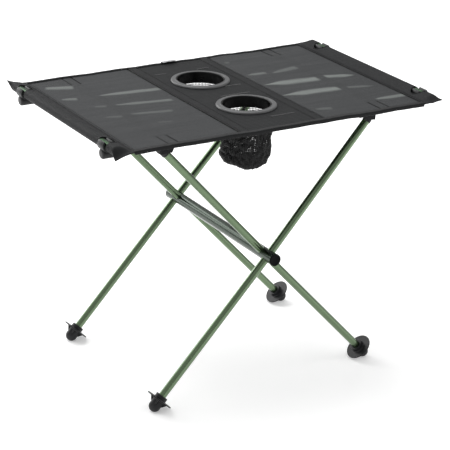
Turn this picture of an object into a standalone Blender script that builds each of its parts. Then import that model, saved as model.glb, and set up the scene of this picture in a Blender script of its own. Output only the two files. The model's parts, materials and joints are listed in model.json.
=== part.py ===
"""Folding camp kitchen table: a scissor leg frame under a tensioned fabric top.

X runs along the length of the table, Y across it and Z up, in metres. The origin is on
the ground, straight under the middle of the crossbar that both leg pairs meet on.
"""
import math

import bmesh
import bpy
from mathutils import Matrix, Vector

# ---- overall sizes ----
TOP_LENGTH = 0.598
TOP_WIDTH = 0.400
FABRIC_HEIGHT = 0.4665
CROSSBAR_HEIGHT = 0.233
FOOT_SPREAD = 0.416

# ---- fits ----
GAP = 0.0003
SOCKET_CLEARANCE = 0.0003
POCKET_CLEARANCE = 0.0012
PIVOT_PIN_CLEARANCE = 0.0002

# ---- side rods and tension poles, and the places that follow from them ----
ROD_DIAMETER = 0.013
ROD_RISE = 0.0005
ROD_END_MARGIN = 0.016
ROD_X = TOP_LENGTH / 2 - ROD_DIAMETER / 2 - 0.0025
TENSION_POLE_DIAMETER = 0.012
CONNECTOR_Y = TOP_WIDTH / 2 - 0.050
FERRULE_WALL = 0.0007
FERRULE_LENGTH = 0.080
CORD_DIAMETER = 0.003

# ---- legs, arms and crossbar ----
POLE_DIAMETER = 0.013
POLE_WALL = 0.0009
POLE_SIDE_CLEARANCE = 0.007
OUTER_POLE_Y = CONNECTOR_Y + 0.006
INNER_POLE_Y = OUTER_POLE_Y - POLE_DIAMETER - POLE_SIDE_CLEARANCE
OUTER_TIP_Y = CONNECTOR_Y
INNER_TIP_Y = CONNECTOR_Y - 0.004
ARM_TIP_X = ROD_X - 0.1025
POLE_END_RADIUS = 0.0045
CROSSBAR_DIAMETER = POLE_DIAMETER + 0.0075
CROSSBAR_WALL = 0.0012
CROSSBAR_LENGTH = 2 * (OUTER_POLE_Y + 0.023)
PIVOT_PIN_DIAMETER = 0.005
PIVOT_PIN_LENGTH = 0.046
CORE_LENGTH = 0.024
CAP_HEAD = 0.0015
CAP_PLUG_LENGTH = 0.006

# ---- feet ----
FOOT_NOSE_DIAMETER = POLE_DIAMETER + 0.007
FOOT_NOSE_LENGTH = 0.0215
FOOT_FLAT_DEPTH = 0.0006
FOOT_DISC_DIAMETER = 0.046
FOOT_DISC_THICKNESS = 0.002
FOOT_COLLAR_DIAMETER = POLE_DIAMETER + 0.008
FOOT_COLLAR_HEIGHT = 0.007
FOOT_SOCKET_FLOOR = 0.004
GUSSET_THICKNESS = 0.002
GUSSET_REACH = FOOT_NOSE_DIAMETER / 2 + 0.0065
GUSSET_HEIGHT = 0.008
FIRST_GUSSET_TURN = math.radians(45)

# ---- arm tips and the pockets that hold them ----
TIP_DIAMETER = POLE_DIAMETER + 0.0015
TIP_LENGTH = 0.014
TIP_END_WALL = 0.003
TIP_ROUND_OFF = 0.002
POCKET_WALL = 0.0018
POCKET_DEPTH = 0.010
POCKET_STRAP_WIDTH = 0.018
POCKET_MOUTH_LENGTH = 0.027

# ---- cup holders ----
CUP_BORE_DIAMETER = 0.0785
CUP_RING_DIAMETER = CUP_BORE_DIAMETER + 0.0215
CUP_RING_THICKNESS = 0.0036
CUP_COLLAR_WALL = 0.0018
CUP_COLLAR_DEPTH = 0.015
CUP_CLAMP_DIAMETER = CUP_RING_DIAMETER - 0.004
CUP_CLAMP_THICKNESS = 0.003
CUP_Y = CONNECTOR_Y - CUP_RING_DIAMETER / 2 - 0.0235
BAG_WALL = 0.0008
BAG_DEPTH = 0.094
BAG_FLOOR_DIAMETER = CUP_BORE_DIAMETER - 0.0185

# ---- fabric top ----
FABRIC_THICKNESS = 0.0012
SLEEVE_WALL = 0.001
SLEEVE_SEAM_X = ROD_X - 0.025
CENTRE_SEAM_X = CUP_RING_DIAMETER / 2 + 0.029
HEM_WIDTH = 0.008
HEM_THICKNESS = 0.001
NOTCH_RADIUS = 0.025
NOTCH_CENTRE_OUTBOARD = 0.007
TAB_THICKNESS = 0.0032
SLEEVE_ARC_DEGREES = 220.0
SLEEVE_ARC_FACETS = 8

# ---- connectors ----
CONNECTOR_WIDTH = 0.020
HOOK_WALL = 0.0034
HOOK_OPENING_DEGREES = 80.0
HOOK_ARC_FACETS = 14
BARREL_DIAMETER = TENSION_POLE_DIAMETER + 0.0056
BARREL_LENGTH = 0.037
BARREL_DROP = (ROD_DIAMETER + TENSION_POLE_DIAMETER) / 2 + 0.001
BARREL_OUTBOARD = ROD_DIAMETER / 2 + 0.0025

# ---- facets of the round pieces ----
POLE_SIDES = 16
SMALL_SIDES = 12
RING_SIDES = 36
BAG_SIDES = 24
CREASE_ANGLE = math.radians(35)

# ---- derived levels ----
POLE_R = POLE_DIAMETER / 2
BAR_R = CROSSBAR_DIAMETER / 2
SPLIT_Y = (OUTER_POLE_Y + INNER_POLE_Y) / 2
BAR_END_Y = CROSSBAR_LENGTH / 2
SHEET_UNDER = FABRIC_HEIGHT - FABRIC_THICKNESS
ROD_Z = FABRIC_HEIGHT + ROD_RISE
BARREL_Z = ROD_Z - BARREL_DROP
TENSION_R = TENSION_POLE_DIAMETER / 2
NOSE_R = FOOT_NOSE_DIAMETER / 2
NOSE_CENTRE_Z = NOSE_R - FOOT_FLAT_DEPTH
FOOT_X = FOOT_SPREAD / 2
POCKET_CEILING = BARREL_Z - TENSION_R - GAP * 2 - POCKET_WALL
TIP_TOP = POCKET_CEILING - GAP * 2
ARM_ANGLE = math.atan2(TIP_TOP - TIP_DIAMETER / 2 - CROSSBAR_HEIGHT, ARM_TIP_X)
SIDES = (("front", -1), ("rear", 1))
ENDS = (("left", -1), ("right", 1))


def clear_scene():
    for stale in list(bpy.data.objects):
        bpy.data.objects.remove(stale, do_unlink=True)


def finish(name, colour, roughness, metallic=0.0):
    material = bpy.data.materials.new(name)
    material.use_nodes = True
    shader = material.node_tree.nodes["Principled BSDF"]
    shader.inputs["Base Color"].default_value = (*colour, 1.0)
    shader.inputs["Roughness"].default_value = roughness
    shader.inputs["Metallic"].default_value = metallic
    return material


FINISHES = {
    "anodised_green": ((0.16, 0.27, 0.13), 0.28, 1.0),
    "anodised_dark": ((0.06, 0.10, 0.08), 0.30, 1.0),
    "black_nylon": ((0.028, 0.028, 0.030), 0.45, 0.0),
    "cap_rubber": ((0.008, 0.008, 0.009), 0.60, 0.0),
    "plain_alloy": ((0.60, 0.61, 0.62), 0.35, 1.0),
    "steel": ((0.45, 0.45, 0.46), 0.30, 1.0),
    "panel_fabric": ((0.075, 0.080, 0.084), 0.85, 0.0),
    "centre_fabric": ((0.050, 0.051, 0.055), 0.90, 0.0),
    "sleeve_fabric": ((0.045, 0.046, 0.048), 0.90, 0.0),
    "webbing": ((0.020, 0.021, 0.022), 0.90, 0.0),
    "ring_grey": ((0.20, 0.20, 0.21), 0.45, 0.0),
    "mesh_black": ((0.012, 0.012, 0.013), 0.80, 0.0),
    "elastic": ((0.05, 0.05, 0.05), 0.80, 0.0),
}


def joint_empty(name, location):
    """An empty on a joint's axis, which its body's pieces hang from."""
    empty = bpy.data.objects.new(name, None)
    empty.location = location
    bpy.context.scene.collection.objects.link(empty)
    return empty


def add_object(name, mesh_data, parent, location=(0.0, 0.0, 0.0), direction=None):
    """Turn a bmesh into a named object, placed by location and by its local Z direction."""
    bmesh.ops.recalc_face_normals(mesh_data, faces=mesh_data.faces)
    mesh = bpy.data.meshes.new(name)
    mesh_data.to_mesh(mesh)
    mesh_data.free()
    mesh.shade_smooth()
    mesh.set_sharp_from_angle(angle=CREASE_ANGLE)
    part = bpy.data.objects.new(name, mesh)
    bpy.context.scene.collection.objects.link(part)
    origin = Vector(location)
    if parent is not None:
        part.parent = parent
        origin = origin - parent.location
    part.location = origin
    if direction is not None:
        part.rotation_euler = Vector(direction).to_track_quat("Z", "Y").to_euler()
    return part


def dress(part, finish_name):
    """Give a piece its own material in the named finish."""
    colour, roughness, metallic = FINISHES[finish_name]
    part.data.materials.append(finish(f"{part.name}_{finish_name}", colour, roughness, metallic))
    return part


def turned(profile, sides, closed=False):
    """Spin an outline of (radius, height) points round local Z."""
    shape = bmesh.new()
    ring = [shape.verts.new((radius, 0.0, height)) for radius, height in profile]
    edges = [shape.edges.new(pair) for pair in zip(ring, ring[1:])]
    if closed:
        edges.append(shape.edges.new((ring[-1], ring[0])))
    bmesh.ops.spin(
        shape, geom=ring + edges, cent=(0, 0, 0), axis=(0, 0, 1),
        angle=math.tau, steps=sides, use_duplicate=False)
    bmesh.ops.remove_doubles(shape, verts=shape.verts, dist=1e-6)
    return shape


def rod_shape(radius, length, sides):
    return turned([(0, 0), (radius, 0), (radius, length), (0, length)], sides)


def tube_shape(outer, inner, length, sides):
    return turned([(inner, 0), (outer, 0), (outer, length), (inner, length)], sides, closed=True)


def box_shape(low, high):
    shape = bmesh.new()
    bmesh.ops.create_cube(shape, size=1.0)
    size = Vector(high) - Vector(low)
    middle = (Vector(high) + Vector(low)) / 2
    bmesh.ops.scale(shape, vec=size, verts=shape.verts)
    bmesh.ops.translate(shape, vec=middle, verts=shape.verts)
    return shape


def combine(part, tool, operation="DIFFERENCE"):
    """Cut or join a tool object with a piece, apply it, and remove the tool."""
    modifier = part.modifiers.new(operation.lower(), "BOOLEAN")
    modifier.operation = operation
    modifier.solver = "EXACT"
    modifier.object = tool
    bpy.context.view_layer.update()
    bpy.context.view_layer.objects.active = part
    bpy.ops.object.modifier_apply(modifier=modifier.name)
    bpy.data.objects.remove(tool, do_unlink=True)
    part.data.shade_smooth()
    part.data.set_sharp_from_angle(angle=CREASE_ANGLE)
    return part


def tool_object(shape, location=(0.0, 0.0, 0.0), direction=None):
    return add_object("tool", shape, None, location, direction)


# ---- leg frame ----

def pole_line(end, group_y, side, outward, target_y):
    """Hub point, unit direction and full length of a pole from the hub to its far end."""
    hub = Vector((0.0, side * group_y, CROSSBAR_HEIGHT))
    if end == "foot":
        far = Vector((outward * FOOT_X, side * group_y, NOSE_CENTRE_Z))
    else:
        rise = TIP_TOP - TIP_DIAMETER / 2 * math.cos(ARM_ANGLE) - CROSSBAR_HEIGHT
        far = Vector((outward * rise / math.tan(ARM_ANGLE), side * target_y, CROSSBAR_HEIGHT + rise))
    line = far - hub
    return hub, line.normalized(), line.length


def make_leg(name, parent, group_y, side, outward):
    """A lower leg from its crossbar socket to the floor of its foot's socket."""
    hub, direction, length = pole_line("foot", group_y, side, outward, group_y)
    start = hub + direction * POLE_END_RADIUS
    run = length - POLE_END_RADIUS - FOOT_SOCKET_FLOOR - GAP
    pole = add_object(name, tube_shape(POLE_R, POLE_R - POLE_WALL, run, POLE_SIDES),
                      parent, start, direction)
    return dress(pole, "anodised_green")


def make_arm(name, parent, group_y, tip_y, side, outward):
    """An upper arm from its crossbar socket to the end wall of its tip."""
    hub, direction, length = pole_line("tip", group_y, side, outward, tip_y)
    start = hub + direction * POLE_END_RADIUS
    run = length - POLE_END_RADIUS - TIP_END_WALL - GAP
    pole = add_object(name, tube_shape(POLE_R, POLE_R - POLE_WALL, run, POLE_SIDES),
                      parent, start, direction)
    return dress(pole, "anodised_green")


def make_tip(name, parent, group_y, tip_y, side, outward):
    """A moulded cap on the arm's upper end, with a rounded nose and a blind socket."""
    hub, direction, length = pole_line("tip", group_y, side, outward, tip_y)
    outer = TIP_DIAMETER / 2
    bore = POLE_R + SOCKET_CLEARANCE
    profile = [(0, TIP_LENGTH), (outer - TIP_ROUND_OFF, TIP_LENGTH),
               (outer, TIP_LENGTH - TIP_ROUND_OFF),
               (outer, 0), (bore, 0), (bore, TIP_LENGTH - TIP_END_WALL),
               (0, TIP_LENGTH - TIP_END_WALL)]
    cap = add_object(name, turned(profile, POLE_SIDES), parent,
                     hub + direction * (length - TIP_LENGTH), direction)
    return dress(cap, "black_nylon")


def make_foot(name, parent, group_y, side, outward):
    """A foot with a rounded nose, a wide disc against soft ground, gussets and a collar."""
    hub, direction, length = pole_line("foot", group_y, side, outward, group_y)
    centre = hub + direction * length
    disc_low = FOOT_NOSE_LENGTH - NOSE_R
    disc_high = disc_low + FOOT_DISC_THICKNESS
    collar_top = disc_high + FOOT_COLLAR_HEIGHT
    bore = POLE_R + SOCKET_CLEARANCE
    dome = [(NOSE_R * math.sin(a), -NOSE_R * math.cos(a))
            for a in (math.radians(step) for step in (0, 22.5, 45, 67.5, 90))]
    profile = dome + [
        (NOSE_R, disc_low), (FOOT_DISC_DIAMETER / 2, disc_low), (FOOT_DISC_DIAMETER / 2, disc_high),
        (FOOT_COLLAR_DIAMETER / 2, disc_high), (FOOT_COLLAR_DIAMETER / 2, collar_top),
        (bore, collar_top), (bore, FOOT_SOCKET_FLOOR), (0, FOOT_SOCKET_FLOOR)]
    foot = add_object(name, turned(profile, POLE_SIDES), parent, centre, -direction)
    for quarter in range(4):
        foot = combine(foot, gusset_tool(foot, quarter, disc_low), "UNION")
    flat = tool_object(box_shape((-1, -1, -1), (1, 1, 0)))
    combine(foot, flat)
    return dress(foot, "black_nylon")


def gusset_tool(foot, quarter, disc_low):
    """A triangular web between the nose and the underside of the disc."""
    shape = bmesh.new()
    inner = NOSE_R - GUSSET_THICKNESS
    high = disc_low + FOOT_DISC_THICKNESS / 2
    outline = [(inner, high - GUSSET_HEIGHT), (NOSE_R, high - GUSSET_HEIGHT),
               (GUSSET_REACH, high), (inner, high)]
    corners = [shape.verts.new((x, -GUSSET_THICKNESS / 2, z)) for x, z in outline]
    face = shape.faces.new(corners)
    pushed = bmesh.ops.extrude_face_region(shape, geom=[face])
    moved = [item for item in pushed["geom"] if isinstance(item, bmesh.types.BMVert)]
    bmesh.ops.translate(shape, vec=(0, GUSSET_THICKNESS, 0), verts=moved)
    turn = Matrix.Rotation(FIRST_GUSSET_TURN + math.radians(90) * quarter, 4, "Z")
    bpy.context.view_layer.update()
    bmesh.ops.transform(shape, matrix=foot.matrix_world @ turn, verts=shape.verts)
    return tool_object(shape)


def cut_pole_sockets(piece, group_y, tip_y, side, outward, floor_radius):
    """Drill the holes of an arm and a leg of one pole group, from floor_radius outwards."""
    bore = POLE_R + SOCKET_CLEARANCE
    for end, reach in (("tip", outward), ("foot", -outward)):
        hub, direction, _ = pole_line(end, group_y, side, reach, tip_y)
        drill = tool_object(rod_shape(bore, CROSSBAR_DIAMETER, POLE_SIDES),
                            hub + direction * floor_radius, direction)
        combine(piece, drill)
    return piece


def make_crossbar(parent):
    """The middle tube of the crossbar, which the inner poles pass into."""
    length = 2 * (SPLIT_Y - GAP / 2)
    tube = add_object("crossbar_tube",
                      tube_shape(BAR_R, BAR_R - CROSSBAR_WALL, length, POLE_SIDES), parent,
                      (0, -length / 2, CROSSBAR_HEIGHT), (0, 1, 0))
    for _, side in SIDES:
        cut_pole_sockets(tube, INNER_POLE_Y, INNER_TIP_Y, side, -1, POLE_END_RADIUS - GAP)
    return dress(tube, "anodised_dark")


def make_end_hub(label, side, parent):
    """A short crossbar tube at one end, which the outer poles pass into."""
    start = SPLIT_Y + GAP / 2
    length = BAR_END_Y - CAP_HEAD - GAP - start
    tube = add_object(f"end_hub_{label}",
                      tube_shape(BAR_R, BAR_R - CROSSBAR_WALL, length, POLE_SIDES), parent,
                      (0, side * start, CROSSBAR_HEIGHT), (0, side, 0))
    cut_pole_sockets(tube, OUTER_POLE_Y, OUTER_TIP_Y, side, 1, POLE_END_RADIUS - GAP)
    return dress(tube, "anodised_dark")


def make_core(name, parent, group_y, tip_y, side, outward, pin_clearance):
    """A moulded core inside the crossbar, with a pin bore and two blind pole sockets."""
    radius = BAR_R - CROSSBAR_WALL - GAP
    bore = PIVOT_PIN_DIAMETER / 2 + pin_clearance
    low = group_y - CORE_LENGTH / 2
    high = group_y + CORE_LENGTH / 2
    if group_y < SPLIT_Y:
        high = min(high, SPLIT_Y - GAP)
    else:
        low = max(low, SPLIT_Y + GAP)
    core = add_object(name, tube_shape(radius, bore, high - low, POLE_SIDES), parent,
                      (0, side * low, CROSSBAR_HEIGHT), (0, side, 0))
    cut_pole_sockets(core, group_y, tip_y, side, outward, POLE_END_RADIUS - GAP)
    return dress(core, "black_nylon")


def make_end_cap(label, side, parent):
    """A plug that closes the crossbar's end with a flat round head."""
    plug = BAR_R - CROSSBAR_WALL - GAP
    bevel = CAP_HEAD / 3
    profile = [(0, -CAP_PLUG_LENGTH), (plug, -CAP_PLUG_LENGTH), (plug, 0), (BAR_R, 0),
               (BAR_R, CAP_HEAD - bevel), (BAR_R - bevel, CAP_HEAD), (0, CAP_HEAD)]
    cap = add_object(f"end_cap_{label}", turned(profile, POLE_SIDES), parent,
                     (0, side * (BAR_END_Y - CAP_HEAD), CROSSBAR_HEIGHT), (0, side, 0))
    return dress(cap, "cap_rubber")


def make_pivot_pin(label, side, parent):
    """A steel pin across the split, which the middle of the crossbar turns on."""
    start = SPLIT_Y - PIVOT_PIN_LENGTH / 2
    pin = add_object(f"pivot_pin_{label}",
                     rod_shape(PIVOT_PIN_DIAMETER / 2, PIVOT_PIN_LENGTH, SMALL_SIDES), parent,
                     (0, side * start, CROSSBAR_HEIGHT), (0, side, 0))
    return dress(pin, "steel")


def make_leg_frame(outer, inner):
    """Both scissor halves: the outer poles with the hubs, the inner ones with the crossbar."""
    make_crossbar(inner)
    for label, side in SIDES:
        make_end_hub(label, side, outer)
        make_end_cap(label, side, outer)
        make_pivot_pin(label, side, outer)
        make_core(f"hub_core_{label}", outer, OUTER_POLE_Y, OUTER_TIP_Y, side, 1, GAP)
        make_core(f"bar_core_{label}", inner, INNER_POLE_Y, INNER_TIP_Y, side, -1,
                  PIVOT_PIN_CLEARANCE)
        make_leg(f"leg_left_{label}", outer, OUTER_POLE_Y, side, -1)
        make_leg(f"leg_right_{label}", inner, INNER_POLE_Y, side, 1)
        make_foot(f"foot_left_{label}", outer, OUTER_POLE_Y, side, -1)
        make_foot(f"foot_right_{label}", inner, INNER_POLE_Y, side, 1)
        make_arm(f"arm_right_{label}", outer, OUTER_POLE_Y, OUTER_TIP_Y, side, 1)
        make_arm(f"arm_left_{label}", inner, INNER_POLE_Y, INNER_TIP_Y, side, -1)
        make_tip(f"arm_tip_right_{label}", outer, OUTER_POLE_Y, OUTER_TIP_Y, side, 1)
        make_tip(f"arm_tip_left_{label}", inner, INNER_POLE_Y, INNER_TIP_Y, side, -1)


# ---- fabric top ----

def make_panels(top):
    """The two main panels and the centre panel with its cup openings, and the long hems."""
    edge = TOP_WIDTH / 2
    for label, end in ENDS:
        inner = CENTRE_SEAM_X + GAP / 2
        outer = SLEEVE_SEAM_X - GAP / 2
        low, high = sorted((end * inner, end * outer))
        panel = add_object(f"{label}_panel",
                           box_shape((low, -edge, SHEET_UNDER), (high, edge, FABRIC_HEIGHT)), top)
        dress(panel, "panel_fabric")
    half = CENTRE_SEAM_X - GAP / 2
    centre = add_object("centre_panel",
                        box_shape((-half, -edge, SHEET_UNDER), (half, edge, FABRIC_HEIGHT)), top)
    for _, side in SIDES:
        radius = CUP_BORE_DIAMETER / 2 + CUP_COLLAR_WALL + 2 * GAP
        hole = rod_shape(radius, 4 * FABRIC_THICKNESS, RING_SIDES)
        combine(centre, tool_object(hole, (0, side * CUP_Y, SHEET_UNDER - FABRIC_THICKNESS)))
    dress(centre, "centre_fabric")
    for label, side in SIDES:
        low, high = sorted((side * (edge - HEM_WIDTH), side * edge))
        reach = SLEEVE_SEAM_X - GAP
        top_of_hem = SHEET_UNDER - GAP
        hem = add_object(f"hem_{label}",
                         box_shape((-reach, low, top_of_hem - HEM_THICKNESS),
                                   (reach, high, top_of_hem)), top)
        dress(hem, "webbing")


def sleeve_section(centre_x, outer):
    """Matched loops of a sleeve's section: its skin round the rod, and its lining."""
    seam = SLEEVE_SEAM_X + GAP / 2
    seam_under = FABRIC_HEIGHT - 2 * SLEEVE_WALL - GAP
    throat = seam + 3 * SLEEVE_WALL
    throat_z = (FABRIC_HEIGHT + seam_under) / 2
    facet = SLEEVE_ARC_DEGREES / SLEEVE_ARC_FACETS
    arc = [math.radians(SLEEVE_ARC_DEGREES / 2 - facet * index)
           for index in range(SLEEVE_ARC_FACETS + 1)]
    inner = outer - SLEEVE_WALL
    skin = [(centre_x + outer * math.cos(a), ROD_Z + outer * math.sin(a)) for a in arc]
    lining = [(centre_x + inner * math.cos(a), ROD_Z + inner * math.sin(a)) for a in arc]
    skin = [(seam, FABRIC_HEIGHT)] + skin + [(seam, seam_under)]
    lining = [(throat, throat_z + GAP / 2)] + lining + [(throat, throat_z - GAP / 2)]
    return skin, lining


def make_sleeve(label, end, top):
    """A sleeve round the side rod, notched where the connectors grip, with flat corner tabs."""
    round_r = ROD_DIAMETER / 2 + GAP + SLEEVE_WALL
    edge = TOP_WIDTH / 2
    rod_end = edge - ROD_END_MARGIN
    tab_r = TAB_THICKNESS / 2
    tab_x = TOP_LENGTH / 2 - tab_r
    stations = [(-edge, tab_x, tab_r), (-rod_end, ROD_X, round_r),
                (rod_end, ROD_X, round_r), (edge, tab_x, tab_r)]
    shape = bmesh.new()
    loops = []
    for y, centre_x, radius in stations:
        for outline in sleeve_section(centre_x, radius):
            loops.append([shape.verts.new((end * x, y, z)) for x, z in outline])
    join_loops(shape, loops[0], loops[1])
    for station in range(len(stations) - 1):
        join_loops(shape, loops[2 * station], loops[2 * station + 2])
        join_loops(shape, loops[2 * station + 1], loops[2 * station + 3])
    join_loops(shape, loops[-2], loops[-1])
    sleeve = add_object(f"{label}_sleeve", shape, top)
    for _, side in SIDES:
        notch = rod_shape(NOTCH_RADIUS, 6 * round_r, BAG_SIDES)
        centre = (end * (ROD_X + NOTCH_CENTRE_OUTBOARD), side * CONNECTOR_Y, ROD_Z - 3 * round_r)
        combine(sleeve, tool_object(notch, centre))
    return dress(sleeve, "sleeve_fabric")


def join_loops(shape, first, second):
    """Skin two closed loops that have the same number of points."""
    count = len(first)
    for index in range(count):
        after = (index + 1) % count
        shape.faces.new((first[index], first[after], second[after], second[index]))


def make_side_rod(label, end, top):
    """The hollow rod that a sleeve holds along a short edge."""
    half = TOP_WIDTH / 2 - ROD_END_MARGIN - GAP
    rod = add_object(f"side_rod_{label}",
                     tube_shape(ROD_DIAMETER / 2, ROD_DIAMETER / 2 - POLE_WALL, 2 * half, POLE_SIDES),
                     top, (end * ROD_X, -half, ROD_Z), (0, 1, 0))
    return dress(rod, "anodised_green")


def make_connector(label, end, side, top):
    """A moulded corner: a barrel for the tension pole under a hook that grips the side rod."""
    barrel_r = BARREL_DIAMETER / 2
    rod_r = ROD_DIAMETER / 2 + SOCKET_CLEARANCE
    outboard = ROD_X + BARREL_OUTBOARD
    round_off = barrel_r / 3
    y = side * CONNECTOR_Y
    profile = [(0, 0), (barrel_r, 0), (barrel_r, BARREL_LENGTH - round_off),
               (barrel_r - round_off, BARREL_LENGTH), (0, BARREL_LENGTH)]
    body = add_object(f"connector_{label}", turned(profile, POLE_SIDES), top,
                      (end * (outboard - BARREL_LENGTH), y, BARREL_Z), (end, 0, 0))
    hook = tool_object(hook_shape(end, rod_r), (end * ROD_X, y, ROD_Z))
    combine(body, hook, "UNION")
    half = CONNECTOR_WIDTH
    rod_bore = tool_object(rod_shape(rod_r, 2 * half, POLE_SIDES),
                           (end * ROD_X, y - half, ROD_Z), (0, 1, 0))
    combine(body, rod_bore)
    bore_depth = BARREL_LENGTH - BARREL_OUTBOARD - rod_r - HOOK_WALL
    pole_bore = tool_object(rod_shape(TENSION_R + SOCKET_CLEARANCE, 2 * bore_depth, POLE_SIDES),
                            (end * (outboard - BARREL_LENGTH - bore_depth), y, BARREL_Z),
                            (end, 0, 0))
    combine(body, pole_bore)
    return dress(body, "black_nylon")


def hook_shape(end, inner):
    """The hook's section, an open ring with rounded ends, pushed along the rod."""
    outer = inner + HOOK_WALL
    gap = HOOK_OPENING_DEGREES
    first = 90 + gap / 2
    last = 450 - gap / 2
    steps = [first + (last - first) * index / HOOK_ARC_FACETS for index in range(HOOK_ARC_FACETS + 1)]
    angles = [math.radians(step) for step in steps]
    middle = (inner + outer) / 2
    near, far = angles[0], angles[-1]
    round_near = near - HOOK_WALL / 3 / middle
    round_far = far + HOOK_WALL / 3 / middle
    outline = [(outer * math.cos(a), outer * math.sin(a)) for a in angles]
    outline.append((middle * math.cos(round_far), middle * math.sin(round_far)))
    cut_r = inner - HOOK_WALL / 4
    outline += [(cut_r * math.cos(a), cut_r * math.sin(a)) for a in reversed(angles)]
    outline.append((middle * math.cos(round_near), middle * math.sin(round_near)))
    shape = bmesh.new()
    low = -CONNECTOR_WIDTH / 2
    face = shape.faces.new([shape.verts.new((end * x, low, z)) for x, z in outline])
    pushed = bmesh.ops.extrude_face_region(shape, geom=[face])
    moved = [item for item in pushed["geom"] if isinstance(item, bmesh.types.BMVert)]
    bmesh.ops.translate(shape, vec=(0, CONNECTOR_WIDTH, 0), verts=moved)
    return shape


def make_tension_pole(label, side, top):
    """Two hollow halves on a ferrule, with the elastic cord that keeps them together."""
    rod_r = ROD_DIAMETER / 2 + SOCKET_CLEARANCE
    reach = ROD_X - rod_r - HOOK_WALL - GAP
    y = side * CONNECTOR_Y
    inner = TENSION_R - POLE_WALL
    for end_label, end in ENDS:
        half = add_object(f"tension_pole_{end_label}_{label}",
                          tube_shape(TENSION_R, inner, reach - GAP / 2, POLE_SIDES), top,
                          (end * GAP / 2, y, BARREL_Z), (end, 0, 0))
        dress(half, "anodised_green")
    ferrule_r = inner - GAP
    ferrule = add_object(f"ferrule_{label}",
                         tube_shape(ferrule_r, ferrule_r - FERRULE_WALL, FERRULE_LENGTH, POLE_SIDES),
                         top, (-FERRULE_LENGTH / 2, y, BARREL_Z), (1, 0, 0))
    dress(ferrule, "plain_alloy")
    run = 2 * (reach - CORD_DIAMETER)
    cord = add_object(f"shock_cord_{label}", rod_shape(CORD_DIAMETER / 2, run, SMALL_SIDES), top,
                      (-run / 2, y, BARREL_Z), (1, 0, 0))
    dress(cord, "elastic")


def make_pocket(label, end, side, top):
    """A webbing pocket for an arm's tip, round the tension pole, and its half of the cross strap.

    The strap runs under the panel from this pocket to the table's middle, where it meets the
    strap of the pocket on the other side, so that the arms can't spread the fabric.
    """
    _, _, length = pole_line("tip", OUTER_POLE_Y, side, end, OUTER_TIP_Y)
    tip_x = length * math.cos(ARM_ANGLE)
    tip_outer_x = tip_x + TIP_DIAMETER / 2 * math.sin(ARM_ANGLE)
    wall_in = tip_outer_x + 2 * POCKET_CLEARANCE
    wall_out = wall_in + POCKET_WALL
    mouth_in = wall_out - POCKET_MOUTH_LENGTH - POCKET_WALL
    near_y = INNER_TIP_Y - TIP_DIAMETER / 2 - POCKET_CLEARANCE
    far_y = OUTER_TIP_Y + TIP_DIAMETER / 2 + POCKET_CLEARANCE
    hem_inner = TOP_WIDTH / 2 - HEM_WIDTH - GAP
    roof_top = SHEET_UNDER - GAP
    floor = POCKET_CEILING - POCKET_DEPTH

    def block(x_low, x_high, y_low, y_high, z_low, z_high):
        xs = sorted((end * x_low, end * x_high))
        ys = sorted((side * y_low, side * y_high))
        return box_shape((xs[0], ys[0], z_low), (xs[1], ys[1], z_high))

    pocket = add_object(f"tip_pocket_{label}",
                        block(mouth_in, wall_out, near_y - POCKET_WALL, far_y + POCKET_WALL,
                              floor, roof_top), top)
    combine(pocket, tool_object(block(mouth_in - GAP, wall_in, near_y, far_y,
                                      floor - GAP, POCKET_CEILING)))
    pole_low = POCKET_CEILING + POCKET_WALL
    combine(pocket, tool_object(block(mouth_in - GAP, wall_out + GAP,
                                      CONNECTOR_Y - TENSION_R - 2 * GAP,
                                      CONNECTOR_Y + TENSION_R + 2 * GAP,
                                      pole_low, roof_top - POCKET_WALL)))
    strap_in = (mouth_in + wall_out - POCKET_STRAP_WIDTH) / 2
    strap = block(strap_in, strap_in + POCKET_STRAP_WIDTH, GAP / 2, hem_inner,
                  roof_top - POCKET_WALL, roof_top)
    combine(pocket, tool_object(strap), "UNION")
    return dress(pocket, "webbing")


def make_cup_holder(label, side, top):
    """Ring, collar and clamp through the fabric, and the mesh bag that hangs from them."""
    centre = (0, side * CUP_Y, 0)
    bore = CUP_BORE_DIAMETER / 2
    collar_r = bore + CUP_COLLAR_WALL
    ring_low = FABRIC_HEIGHT + GAP
    ring_high = ring_low + CUP_RING_THICKNESS
    ring_r = CUP_RING_DIAMETER / 2
    crown = CUP_RING_THICKNESS / 3
    ring_profile = [(collar_r + GAP, ring_low), (ring_r, ring_low), (ring_r, ring_low + crown),
                    (ring_r - 2 * crown, ring_high), (collar_r + GAP, ring_high)]
    ring = add_object(f"cup_ring_{label}", turned(ring_profile, RING_SIDES, closed=True), top, centre)
    dress(ring, "ring_grey")
    collar_low = ring_high - CUP_COLLAR_DEPTH - CUP_RING_THICKNESS
    collar_profile = [(bore, collar_low), (collar_r, collar_low), (collar_r, ring_high - GAP),
                      (bore, ring_high - GAP)]
    collar = add_object(f"cup_collar_{label}",
                        turned(collar_profile, RING_SIDES, closed=True), top, centre)
    dress(collar, "black_nylon")
    clamp_high = SHEET_UNDER - GAP
    clamp_low = clamp_high - CUP_CLAMP_THICKNESS
    clamp_profile = [(collar_r + GAP, clamp_low), (CUP_CLAMP_DIAMETER / 2, clamp_low),
                     (CUP_CLAMP_DIAMETER / 2, clamp_high), (collar_r + GAP, clamp_high)]
    clamp = add_object(f"cup_clamp_{label}",
                       turned(clamp_profile, RING_SIDES, closed=True), top, centre)
    dress(clamp, "black_nylon")
    bag_inner = collar_r / math.cos(math.pi / BAG_SIDES) + GAP
    bag = add_object(f"mesh_bag_{label}", bag_shape(bag_inner, clamp_low - GAP), top, centre)
    dress(bag, "mesh_black")


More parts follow.
